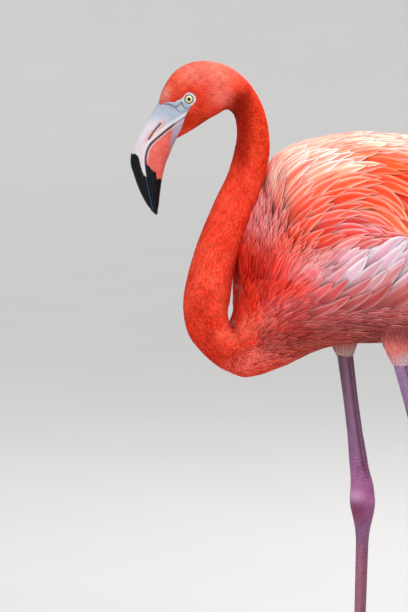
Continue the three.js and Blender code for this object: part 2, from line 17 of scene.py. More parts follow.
import bpy
import numpy as np
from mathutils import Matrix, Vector


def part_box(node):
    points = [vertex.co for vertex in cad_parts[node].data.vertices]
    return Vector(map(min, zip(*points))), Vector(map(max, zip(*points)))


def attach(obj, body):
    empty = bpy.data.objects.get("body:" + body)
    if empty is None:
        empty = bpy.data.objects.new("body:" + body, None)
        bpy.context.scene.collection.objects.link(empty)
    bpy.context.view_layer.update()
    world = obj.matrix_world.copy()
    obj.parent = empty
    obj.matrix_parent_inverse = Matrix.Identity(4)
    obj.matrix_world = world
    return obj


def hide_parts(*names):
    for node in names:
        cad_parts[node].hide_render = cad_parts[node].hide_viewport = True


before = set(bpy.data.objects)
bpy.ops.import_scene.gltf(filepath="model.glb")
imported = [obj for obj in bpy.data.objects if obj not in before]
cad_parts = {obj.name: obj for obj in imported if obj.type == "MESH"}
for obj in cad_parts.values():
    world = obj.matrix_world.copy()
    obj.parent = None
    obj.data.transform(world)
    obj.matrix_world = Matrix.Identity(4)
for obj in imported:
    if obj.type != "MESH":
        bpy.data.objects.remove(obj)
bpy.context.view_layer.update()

Array = np.ndarray
Colour = tuple[float, float, float]
Point2 = tuple[float, float]
Point3 = tuple[float, float, float]
Number = Array | float
Material = bpy.types.Material

MM = 0.001
BODY = "root"
BAKE_MAP = "OFBake"
TUFT_PATCH = 0.003  # width of one feather's patch on the bake map
LEG_CHART = 0.2  # width and height of a leg's part of the skin's bake map
TRUNK_CHART = (0.22, 0.78)  # where the trunk's part starts, and its height
CHART_USED = 0.99  # share of the bake map that a tract covers
FRAYED = 0.05  # unevenness of the edges of quill feathers
GIRTH_MARKS = 97  # points that a girth is measured with
SEED = 7

log = logging.getLogger("flamingo")


class Side(Enum):
    """Which side of the bird a piece is on; the value is the sign of its y."""

    LEFT = -1
    RIGHT = 1

    @property
    def word(self) -> str:
        """The side's name as the nodes spell it."""
        return self.name.lower()


class Slot(Enum):
    """Material slots of the record."""

    NECK = "neck_feathers"
    BODY = "body_feathers"
    WING = "wing_feathers"
    TAIL = "tail_feathers"
    CUFF = "cuff_feathers"
    LEG = "leg_skin"
    BILL = "bill_horn"
    CLAW = "claw_horn"
    EYE = "eye"


# ---------------- arithmetic on arrays


def smooth(x: Number, low: float, high: float) -> Array:
    """A ramp from 0 at low to 1 at high that eases in and out: 3f^2 - 2f^3."""
    f = np.clip((np.asarray(x, float) - low) / (high - low), 0.0, 1.0)
    return f * f * (3 - 2 * f)


def bump(x: Number, centre: float, reach: float) -> Array:
    """A bell of height 1 at centre: exp(-((x - centre) / reach)^2)."""
    return np.exp(-(((np.asarray(x, float) - centre) / reach) ** 2))


def blend(a: Number, b: Number, share: Number) -> Array:
    """a where share is 0 and b where it is 1."""
    return a + (b - a) * share


def between(a: Array | Point3, b: Array | Point3, share: Number) -> Array:
    """Rows of three numbers from a where their share is 0 to b where it is 1."""
    return blend(np.asarray(a), np.asarray(b), np.asarray(share)[..., None])


def glazed(colour: Array, *coats: tuple[Colour, Number]) -> Array:
    """Rows of colour turned towards one colour after another, each with its share."""
    for other, share in coats:
        colour = between(colour, other, share)
    return colour


def circle(columns: int) -> Array:
    """Evenly spaced angles of a full turn."""
    return np.linspace(0, 2 * math.pi, columns, endpoint=False)


def grid(rows: Array, columns: Array) -> list[Array]:
    """Two rows of numbers spread over a grid: the first down it, the second across it."""
    return np.meshgrid(rows, columns, indexing="ij")


def points_at(x: Number, y: Number, z: Number) -> Array:
    """Points of three arrays that are spread to one shape."""
    return np.stack(np.broadcast_arrays(x, y, z), axis=-1)


def unit(v: Array) -> Array:
    """Vectors of the same directions with length 1."""
    return v / np.maximum(np.linalg.norm(v, axis=-1, keepdims=True), 1e-9)


def dot(a: Array, b: Array) -> Array:
    """Sums of the products of vectors' parts."""
    return np.sum(a * b, axis=-1)


def signed_power(x: Array, power: float) -> Array:
    """sign(x) * |x|^power."""
    return np.sign(x) * np.abs(x) ** power


def through(points: Array, at: Array) -> Array:
    """Reads evenly spaced rows at fractional places along a Catmull-Rom curve.

    Args:
        points: Rows of values, one for each whole place.
        at: Places to read, in rows.

    Returns:
        The values there: a cubic through each pair of rows b, c whose slopes are half the
        difference of the rows on either side.
    """
    rows = np.vstack([2 * points[0] - points[1], points, 2 * points[-1] - points[-2]])
    at = np.clip(np.asarray(at, float), 0, len(points) - 1)
    i = np.minimum(at.astype(int), len(points) - 2)
    f = (at - i)[..., None]
    a, b, c, d = rows[i], rows[i + 1], rows[i + 2], rows[i + 3]
    f2 = f * f
    f3 = f2 * f
    rise = (c - a) / 2 * (f3 - 2 * f2 + f) + (d - b) / 2 * (f3 - f2)
    return b * (2 * f3 - 3 * f2 + 1) + c * (3 * f2 - 2 * f3) + rise


def smooth_line(points: Sequence[Point2], steps: int = 12) -> Array:
    """A polyline of a Catmull-Rom curve through the points, with so many steps between two."""
    rows = np.array(points, float)
    return through(rows, np.linspace(0, len(rows) - 1, (len(rows) - 1) * steps + 1))


def line_distance(x: Array, z: Array, line: Array) -> Array:
    """How far each place is from a polyline: the least distance to any of its segments."""
    best = np.full(np.shape(x), 1e9)
    for a, b in zip(line[:-1], line[1:]):
        run = b - a
        share = np.clip(((x - a[0]) * run[0] + (z - a[1]) * run[1]) / (run @ run), 0, 1)
        best = np.minimum(best, np.hypot(x - a[0] - share * run[0], z - a[1] - share * run[1]))
    return best


def eased(row: Array, kernel: Array) -> Array:
    """A row of numbers averaged with their neighbours by a kernel's weights."""
    return np.convolve(np.pad(row, len(kernel) // 2, mode="edge"), kernel, "valid")


def within(x: Array, z: Array, outline: Array) -> Array:
    """True inside a closed outline: a level ray crosses it an odd number of times."""
    inside = np.zeros(np.shape(x), bool)
    for a, b in zip(outline, np.roll(outline, -1, axis=0)):
        spans = (a[1] > z) != (b[1] > z)
        rise = b[1] - a[1] if b[1] != a[1] else 1e-9
        inside ^= spans & (x < (b[0] - a[0]) * (z - a[1]) / rise + a[0])
    return inside


def ripple(x: Array, y: Array, z: Array, size: float, seed: float = 0.0) -> Array:
    """A soft uneven field from -1 to 1 with patches of about a size: a sum of slanted sines."""
    total = np.zeros(np.shape(x))
    for k, (ax, ay, az) in enumerate([(1, 0.6, 0.3), (-0.5, 1, 0.7), (0.4, -0.7, 1), (0.9, 0.2, -0.8)]):
        phase = seed * (k + 1) * 1.7
        total = total + np.sin((ax * x + ay * y + az * z) * (2.1 + 0.37 * k) / size + phase)
    return total / 4


# ---------------- the bird's form


@dataclass(frozen=True)
class Ring:
    """One section of the loft: its back and belly in the side view, and its half width."""

    back: Point2
    belly: Point2
    half: float
    egg: float = 0.0  # how much narrower the back half is than the belly half


# rows of Ring's fields, from the tip of the bill to the rump
BILL_RINGS = (
    ((-84.2, 602.6), (-82.6, 602.2), 0.9), ((-89.6, 607.5), (-81.8, 606), 3.2, 0.1),
    ((-96.9, 618.6), (-80.6, 615), 5.6, 0.15), ((-103.3, 632), (-79.4, 626), 7.8, 0.2),
    ((-108.2, 646), (-77.6, 639), 9.4, 0.25), ((-111.9, 659), (-75.6, 649), 10.6, 0.28),
    ((-110.8, 672), (-73, 659), 11.4, 0.25), ((-105.5, 685), (-69.6, 667), 11.8, 0.2),
    ((-98, 699), (-66.4, 675), 11.6, 0.12), ((-89.5, 712), (-63.6, 681), 11.4, 0.05),
)
HEAD_RINGS = (
    ((-82, 725), (-61, 686), 11.8, 0.04), ((-78.5, 736), (-58.5, 687.5), 13.2, 0.06),
    ((-72.5, 748), (-55, 689.5), 15.2, 0.08), ((-62, 761), (-48, 693.5), 17.4, 0.1),
    ((-46, 769.5), (-39, 699), 18.6, 0.1), ((-28, 771.5), (-27, 707), 18.6, 0.08),
    ((-8, 767), (-16, 713), 17.5, 0.04),
)
NECK_RINGS = (
    ((11, 755), (-7, 718), 16.3), ((26, 737), (-1, 715.5), 15.4), ((36, 715), (3, 708), 15.4),
    ((40.5, 692), (5, 692), 16), ((41, 668), (2, 672), 17), ((34, 638), (-6, 646), 18.2),
    ((24, 608), (-21, 616), 19.5), ((5, 567), (-40, 572), 20.6), ((-4.5, 528), (-53, 528), 21.6),
    ((-7, 500), (-56, 499), 22.2), ((-5.5, 487), (-50, 471), 22.6), ((-2.5, 480), (-34, 450), 23.2),
    ((0, 480.5), (-16, 434.5), 24.8), ((1.2, 490), (-1, 427), 28.5),
)
TRUNK_RINGS = (
    ((7, 513), (12, 423), 35, 0.24), ((5.5, 544), (27, 425), 46, 0.22), ((14.5, 583), (43, 430), 57, 0.12),
    ((32, 625), (62, 437), 68, 0.06), ((43, 655), (82, 446), 76, 0.03), ((62, 674), (102, 453), 83),
    ((102, 686), (127, 457), 88), ((153, 691), (160, 457), 91), ((217, 685), (218, 456), 88),
    ((288, 668), (290, 463), 79), ((361, 636), (362, 478), 61), ((434, 587), (435, 497), 37),
    ((486, 545), (486, 512), 13),
)
HORN_END = 16.0  # a ring past the horn's rearmost point
HEAD_START = len(BILL_RINGS)
NECK_START = HEAD_START + len(HEAD_RINGS)
TRUNK_START = NECK_START + len(NECK_RINGS)
RUMP_END = TRUNK_START + len(TRUNK_RINGS) - 1
EYE_PLACE: Point3 = (-47.5, 13.2, 730.0)  # middle of an eyeball in the head's own plane


def eye_distance(x: Array, z: Array) -> Array:
    """How far places of the side view are from the eye's middle."""
    return np.hypot(x - EYE_PLACE[0], z - EYE_PLACE[2])


@dataclass
class Place:
    """Points of the loft with all that a feather needs to know of where it is rooted."""

    t: Array
    theta: Array
    point: Array
    ahead: Array  # change of the point for one ring, towards the tail
    around: Array  # change of the point for one radian, from the back to the belly
    normal: Array
    x: Array  # side view place before the head is turned
    z: Array


class Loft:
    """A surface of rings that feathers can be laid on: t runs along it and theta round it."""

    end: float
    lengths: Array

    def at(self, t: Array, theta: Array, grow: Number = 0.0, turned: bool = True) -> Array:
        """Points of the surface, a distance outside it if grow is given."""
        raise NotImplementedError

    def measured(self, marks: int = 1200) -> Array:
        """Lengths from the start to evenly spaced rings, along the side at a quarter turn."""
        fine = self.at(np.linspace(0, self.end, marks), np.full(marks, math.pi / 2))
        steps = np.linalg.norm(np.diff(fine, axis=0), axis=-1)
        return np.concatenate([[0.0], np.cumsum(steps)])

    def place(self, t: Array, theta: Array, grow: Number = 0.0) -> Place:
        """Points with their tangents, by small differences, and the normal between these."""
        small = 0.02  # in rings and in radians
        t = np.clip(t, small, self.end - small)
        point = self.at(t, theta, grow)
        ahead = (self.at(t + small, theta, grow) - self.at(t - small, theta, grow)) / (2 * small)
        around = (self.at(t, theta + small, grow) - self.at(t, theta - small, grow)) / (2 * small)
        plain = self.at(t, theta, grow, turned=False)
        normal = unit(np.cross(ahead, around))
        return Place(t, theta, point, ahead, around, normal, plain[..., 0], plain[..., 2])

    def length_at(self, t: Number) -> Array:
        """Length along the side from the start to ring t."""
        return np.interp(t, np.linspace(0, self.end, len(self.lengths)), self.lengths)

    def ring_at(self, length: Number) -> Array:
        """The ring at a length along the side."""
        return np.interp(length, self.lengths, np.linspace(0, self.end, len(self.lengths)))


@dataclass(frozen=True)
class BodyForm(Loft):
    """The bird's loft: rings joined by smooth curves and squared, with a turned head."""

    rings: tuple[Ring, ...] = tuple(Ring(*row) for row in BILL_RINGS + HEAD_RINGS + NECK_RINGS + TRUNK_RINGS)
    fullness: float = 2.15  # exponent of the superellipse; 2 is an ellipse
    head_turn: float = math.radians(16)
    turn_axis_x: float = 22.0
    turn_from: float = NECK_START + 7.0
    turn_full: float = float(NECK_START)
    end: float = float(RUMP_END)
    table: Array = field(init=False)
    lengths: Array = field(init=False)

    def __post_init__(self) -> None:
        """Lays the rings out as rows of numbers and measures the length along the side."""
        rows = np.array([[*r.back, *r.belly, r.half, r.egg] for r in self.rings])
        object.__setattr__(self, "table", rows)
        object.__setattr__(self, "lengths", self.measured())

    def at(self, t: Array, theta: Array, grow: Number = 0.0, turned: bool = True) -> Array:
        """Points of the loft.

        Args:
            t: Place along the bird, in rings from the tip of the bill.
            theta: Angle round the ring: 0 at the back, pi at the belly, positive y between.
            grow: Distance outwards from the loft.
            turned: Whether the head's turn is applied.

        Returns:
            middle + reach * along in the side view, and (half + grow) * across * (1 - egg *
            along) sideways, where along and across are cos and sin raised to 2 / fullness.
        """
        t, theta = np.broadcast_arrays(np.asarray(t, float), np.asarray(theta, float))
        row = through(self.table, t)
        back, belly, half, egg = row[..., 0:2], row[..., 2:4], row[..., 4], row[..., 5]
        middle = (back + belly) / 2
        reach = back - middle
        span = np.linalg.norm(reach, axis=-1)
        power = 2 / self.fullness
        along = signed_power(np.cos(theta), power)
        across = signed_power(np.sin(theta), power)
        side = middle + reach * (along * (1 + grow / np.maximum(span, 1e-6)))[..., None]
        y = (half + grow) * across * (1 - egg * along)
        points = points_at(side[..., 0], y, side[..., 1])
        return self.turn(points, t) if turned else points

    def turn(self, points: Array, t: Number) -> Array:
        """Points turned about the upright line through the upper neck, as far as t asks."""
        left = self.turn_from - np.asarray(t, float)
        angle = self.head_turn * smooth(left, 0, self.turn_from - self.turn_full)
        c, s = np.cos(angle), np.sin(angle)
        x = points[..., 0] - self.turn_axis_x
        y = points[..., 1]
        return points_at(self.turn_axis_x + x * c + y * s, y * c - x * s, points[..., 2])


def frame_shift() -> float:
    """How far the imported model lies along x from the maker's frame, read from an eye."""
    low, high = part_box("eye_left")
    eye = BodyForm().turn(np.array([[EYE_PLACE[0], -EYE_PLACE[1], EYE_PLACE[2]]]), 0.0)[0]
    return (low[0] + high[0]) / 2 / MM - float(eye[0])


SHIFT = frame_shift()


def to_frame(points: Array) -> Array:
    """Points of the maker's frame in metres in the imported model's frame."""
    return (points + np.array([SHIFT, 0.0, 0.0])) * MM


# ---------------- meshes


@dataclass
class Sheet:
    """A piece in the making: points, faces and what is painted on each point."""

    points: Array
    quads: Array
    tris: Array = field(default_factory=lambda: np.zeros((0, 3), int))
    paint: dict[str, Array] = field(default_factory=dict)
    chart: Array | None = None  # place of each point on the bake map


def plain_paint(colour: Array) -> dict[str, Array]:
    """Paint of bare skin: one colour for core and edge, and no feather."""
    return {"core": colour, "edge": colour, "vane": np.zeros((len(colour), 3))}


def joined(sheets: Sequence[Sheet]) -> Sheet:
    """One sheet of several, with their points and faces one after the other."""
    starts = np.cumsum([0] + [len(s.points) for s in sheets])
    names = sheets[0].paint.keys()
    return Sheet(
        np.vstack([s.points for s in sheets]),
        np.vstack([s.quads + k for s, k in zip(sheets, starts)]),
        np.vstack([s.tris + k for s, k in zip(sheets, starts)]),
        {n: np.vstack([s.paint[n] for s in sheets]) for n in names},
        None if sheets[0].chart is None else np.vstack([s.chart for s in sheets]),
    )


def lattice(rows: int, columns: int, closed: bool) -> Array:
    """Quads of a grid of points stored row by row, whose last column may meet the first."""
    r, c = grid(np.arange(rows - 1), np.arange(columns if closed else columns - 1))
    after = (c + 1) % columns
    corners = [r * columns + c, (r + 1) * columns + c, (r + 1) * columns + after, r * columns + after]
    return np.stack([k.ravel() for k in corners], axis=-1)


def tube(rings: Array, capped: bool = True) -> Sheet:
    """A closed skin over rings of points.

    Args:
        rings: Points as (ring, place round it, xyz), running so that ahead x around is out.
        capped: Whether a fan of triangles closes each end.

    Returns:
        The skin. Its points are the rings' in order, then one for each fan.
    """
    rows, columns = rings.shape[:2]
    points = rings.reshape(-1, 3)
    quads = lattice(rows, columns, True)
    if not capped:
        return Sheet(points, quads)
    here = np.arange(columns)
    after = (here + 1) % columns
    pole = np.full(columns, rows * columns)
    last = (rows - 1) * columns
    start = np.stack([pole, here, after], axis=-1)
    end = np.stack([pole + 1, last + after, last + here], axis=-1)
    points = np.vstack([points, rings[0].mean(axis=0), rings[-1].mean(axis=0)])
    return Sheet(points, quads, np.vstack([start, end]))


def bar(centre: Array, aside: Array, wide: Array, high: Array, columns: int) -> Sheet:
    """A bar of upright ellipses round a line of middles, each so wide and so high."""
    angle = circle(columns)
    across = aside * (wide[:, None] * np.cos(angle))[..., None]
    upwards = np.array([0, 0, 1.0]) * (high[:, None] * np.sin(angle))[..., None]
    return tube(centre[:, None] + across + upwards)


def read(items: bpy.types.bpy_prop_collection, key: str, width: int = 1, kind: type = float) -> Array:
    """One property of all the items as numbers, so many for each."""
    values = np.zeros(len(items) * width, kind)
    items.foreach_get(key, values)
    return values


def write(items: bpy.types.bpy_prop_collection, key: str, values: Array) -> None:
    """Sets one property of all the items."""
    items.foreach_set(key, values.astype(np.float32).ravel())


def mesh_object(name: str, sheet: Sheet, finish: Material | None = None) -> bpy.types.Object:
    """Writes a sheet as an object at the origin.

    Args:
        name: The piece's name.
        sheet: Its points in the maker's frame, faces and painted values.
        finish: Its material.

    Returns:
        The new object, smoothly shaded, with a colour or vector attribute for each paint.
    """
    mesh = bpy.data.meshes.new(name)
    loops = np.concatenate([sheet.quads.ravel(), sheet.tris.ravel()]).astype(np.int32)
    sizes = np.concatenate([np.full(len(sheet.quads), 4), np.full(len(sheet.tris), 3)])
    starts = np.concatenate([[0], np.cumsum(sizes)[:-1]]).astype(np.int32)
    mesh.vertices.add(len(sheet.points))
    mesh.loops.add(len(loops))
    mesh.polygons.add(len(sizes))
    write(mesh.vertices, "co", to_frame(sheet.points))
    mesh.loops.foreach_set("vertex_index", loops)
    mesh.polygons.foreach_set("loop_start", starts)
    mesh.polygons.foreach_set("use_smooth", np.ones(len(sizes), bool))
    mesh.update(calc_edges=True)
    for key, values in sheet.paint.items():
        if key == "vane":
            write(mesh.attributes.new(key, "FLOAT_VECTOR", "POINT").data, "vector", values)
        else:
            opaque = np.hstack([np.clip(values, 0, 1), np.ones((len(values), 1))])
            write(mesh.attributes.new(key, "FLOAT_COLOR", "POINT").data, "color", opaque)
    if sheet.chart is not None:
        write(mesh.uv_layers.new(name=BAKE_MAP).uv, "vector", sheet.chart[loops])
    mesh.validate()
    if finish:
        mesh.materials.append(finish)
    thing = bpy.data.objects.new(name, mesh)
    bpy.context.scene.collection.objects.link(thing)
    return thing


def add_piece(name: str, sheet: Sheet, finish: Material, slot: Slot, *nodes: str) -> None:
    """Makes a piece of the bird, mounts it on the body and hides the imported parts that it stands for."""
    piece = mesh_object(name, sheet, finish)
    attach(piece, BODY)
    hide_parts(*nodes)
    log.info("%s: %d triangles", name, 2 * len(sheet.quads) + len(sheet.tris))


# ---------------- shader arithmetic


def operator(operation: str, *first: float) -> Callable[..., Value]:
    """A method of Value that runs it, some fixed numbers and its operands through a Math node."""
    return lambda value, *others: value._math(operation, *first, *others)


class Value:
    """A socket of a node tree that can be reckoned with like a number."""

    def __init__(self, bench: Bench, socket: bpy.types.NodeSocket | None) -> None:
        """Keeps the tree and the socket."""
        self.bench = bench
        self.socket = socket

    def _math(self, operation: str, *others: Value | float, clamp: bool = False) -> Value:
        """This value and others through one Math node."""
        settings = {"operation": operation, "use_clamp": clamp}
        return self.bench.node("ShaderNodeMath", settings, dict(enumerate([self, *others])))

    __add__ = __radd__ = operator("ADD")
    __sub__ = operator("SUBTRACT")
    __rsub__ = operator("MULTIPLY_ADD", -1.0)
    __mul__ = __rmul__ = operator("MULTIPLY")
    __pow__ = operator("POWER")
    size = operator("ABSOLUTE")

    def clamped(self) -> Value:
        """The value held between 0 and 1."""
        return self._math("ADD", 0.0, clamp=True)

    def ramp(self, low: float, high: float) -> Value:
        """0 at low and 1 at high, eased: the node's own smooth step."""
        settings = {"interpolation_type": "SMOOTHSTEP"}
        return self.bench.node("ShaderNodeMapRange", settings, {0: self, 1: low, 2: high, 3: 0.0, 4: 1.0})


class Bench:
    """Builds the node tree of one material."""

    def __init__(self, name: str) -> None:
        """Starts an empty material."""
        self.material = bpy.data.materials.new(name)
        self.material.use_nodes = True
        self.material.use_backface_culling = False
        self.tree = self.material.node_tree
        self.tree.nodes.clear()

    def node(
        self,
        kind: str,
        settings: dict[str, object] | None = None,
        inputs: dict[int | str, Value | float | Sequence[float]] | None = None,
        output: int | str = 0,
    ) -> Value:
        """Adds a node.

        Args:
            kind: The node's type.
            settings: Its own settings, set before its sockets.
            inputs: Values or links of its sockets, by number or name.
            output: The socket to read from it.

        Returns:
            That output as a value.
        """
        made = self.tree.nodes.new(kind)
        for key, value in (settings or {}).items():
            setattr(made, key, value)
        for key, value in (inputs or {}).items():
            if isinstance(value, Value):
                self.tree.links.new(value.socket, made.inputs[key])
            else:
                made.inputs[key].default_value = value
        return Value(self, made.outputs[output] if made.outputs else None)

    def painted(self, name: str, output: int | str = "Color") -> Value:
        """What is painted on the mesh under a name."""
        return self.node("ShaderNodeAttribute", {"attribute_name": name}, output=output)

    def parts(self, vector: Value) -> tuple[Value, Value, Value]:
        """The three numbers of a vector."""
        x = self.node("ShaderNodeSeparateXYZ", None, {0: vector})
        outputs = x.socket.node.outputs
        return x, Value(self, outputs[1]), Value(self, outputs[2])

    def vector(self, x: Value | float, y: Value | float, z: Value | float) -> Value:
        """A vector of three numbers."""
        return self.node("ShaderNodeCombineXYZ", None, {0: x, 1: y, 2: z})

    def here(self) -> Value:
        """The place on the piece, in metres."""
        return self.node("ShaderNodeTexCoord", output="Object")

    def mix(self, a: Value | Sequence[float], b: Value | Sequence[float], share: Value | float) -> Value:
        """A colour between two."""
        return self.node("ShaderNodeMix", {"data_type": "RGBA"}, {0: share, 6: rgba(a), 7: rgba(b)}, 2)

    def tinted(self, a: Value, b: Value | Sequence[float], share: Value | float = 1.0) -> Value:
        """A colour multiplied by another."""
        settings = {"data_type": "RGBA", "blend_type": "MULTIPLY"}
        return self.node("ShaderNodeMix", settings, {0: share, 6: rgba(a), 7: rgba(b)}, 2)

    def grey(self, level: Value) -> Value:
        """A number as a grey colour."""
        return self.node("ShaderNodeCombineColor", None, {0: level, 1: level, 2: level})

    def shaded(self, level: Value) -> Value:
        """The painted colour made as light or dark as a level."""
        return self.tinted(self.painted("core"), self.grey(level))

    def noise(self, where: Value, scale: float, detail: float = 2.0) -> Value:
        """Soft noise from 0 to 1."""
        return self.node("ShaderNodeTexNoise", None, {"Vector": where, "Scale": scale, "Detail": detail})

    def bump(self, height: Value, distance: float, strength: float = 1.0) -> Value:
        """Normals tilted by a height in a unit of so many metres."""
        inputs = {"Strength": strength, "Distance": distance, "Height": height}
        return self.node("ShaderNodeBump", None, inputs)

    def stretched(self, where: Value, scale: Point3) -> Value:
        """A place multiplied by a different number along each axis."""
        return self.node("ShaderNodeVectorMath", {"operation": "MULTIPLY"}, {0: where, 1: scale})

    def finish(self, **sockets: Value | float | Sequence[float]) -> Material:
        """Ends the tree in a Principled shader with these sockets."""
        inputs = {key.replace("_", " "): value for key, value in sockets.items()}
        shader = self.node("ShaderNodeBsdfPrincipled", None, inputs)
        self.node("ShaderNodeOutputMaterial", None, {"Surface": shader})
        return self.material


def rgba(colour: Value | Sequence[float]) -> Value | Sequence[float]:
    """A colour with its opacity added, or the value it already is."""
    return colour if isinstance(colour, Value) or len(colour) == 4 else (*colour, 1.0)


@dataclass(frozen=True)
class VaneFinish:
    """Finish of a feather: a core colour, a paler edge, fine slanting barbs and painted shade towards the
    covered root.
    """

    name: str
    barbs: float = 26.0  # barbs along the feather
    slant: float = 0.55  # how far a barb runs towards the tip as it crosses the vane
    streak: float = 0.35  # how much the barbs change the colour
    fringe: tuple[float, float] = (0.35, 0.95)  # where the edge colour sets in and is full
    shade: float = 0.45  # how dark the painted shade at the covered root is
    relief: float = 0.0004
    roughness: float = 0.62
    gloss: float = 0.16

    # how far apart two feathers' patterns can lie in the noise
    BARB_SHIFT = 37.0
    CLUMP_SHIFT = 91.0

    def make(self) -> Material:
        """The material. It reads the paint "core", "edge" and "vane" (along, across, chance)."""
        bench = Bench(self.name)
        along, across, chance = bench.parts(bench.painted("vane", "Vector"))
        width = across.size()
        slanted = along - width * self.slant
        barb_place = bench.vector(slanted * self.barbs, across * 1.2, chance * self.BARB_SHIFT)
        clump_place = bench.vector(along * 2.0, across * 1.6, chance * self.CLUMP_SHIFT)
        barbs = bench.noise(barb_place, 1.0, 3.0)
        clump = bench.noise(clump_place, 1.0, 2.0)
        fringe = (width + (barbs - 0.5) * self.streak * 1.4 + (along ** 4.0) * 0.45).ramp(*self.fringe)
        colour = bench.mix(bench.painted("core"), bench.painted("edge"), fringe)
        # painted shade: each feather darkens towards its covered root
        depth = 1.0 - (1.0 - along.ramp(0.05, 0.62)) * self.shade
        light = depth * (1.0 + (barbs - 0.5) * self.streak) * (0.86 + clump * 0.28)
        colour = bench.tinted(colour, bench.grey(light))
        shaft = 1.0 - (width * 9.0).clamped()
        height = barbs * 0.8 + shaft * 0.5
        return bench.finish(
            Base_Color=colour,
            Roughness=self.roughness,
            Normal=bench.bump(height, self.relief),
            Specular_IOR_Level=self.gloss,
        )


# ---------------- markings


@dataclass(frozen=True)
class Wash:
    """A soft oval of colour on the plumage in the side view."""

    centre: Point2
    radii: Point2
    core: Colour
    edge: Colour
    strength: float = 1.0
    slant: float = 0.0  # degrees that the oval's long axis rises towards the tail
    start: float = 0.0  # first ring that it reaches
    stop: float = 60.0  # last ring that it reaches

    def share(self, place: Place) -> Array:
        """How strongly it shows: exp(-(distance in radii)^4), times its strength."""
        a = math.radians(self.slant)
        dx, dz = place.x - self.centre[0], place.z - self.centre[1]
        u = (dx * math.cos(a) + dz * math.sin(a)) / self.radii[0]
        v = (dz * math.cos(a) - dx * math.sin(a)) / self.radii[1]
        on = smooth(place.t, self.start - 0.6, self.start) * (1 - smooth(place.t, self.stop, self.stop + 0.6))
        return self.strength * on * np.exp(-((u * u + v * v) ** 2))


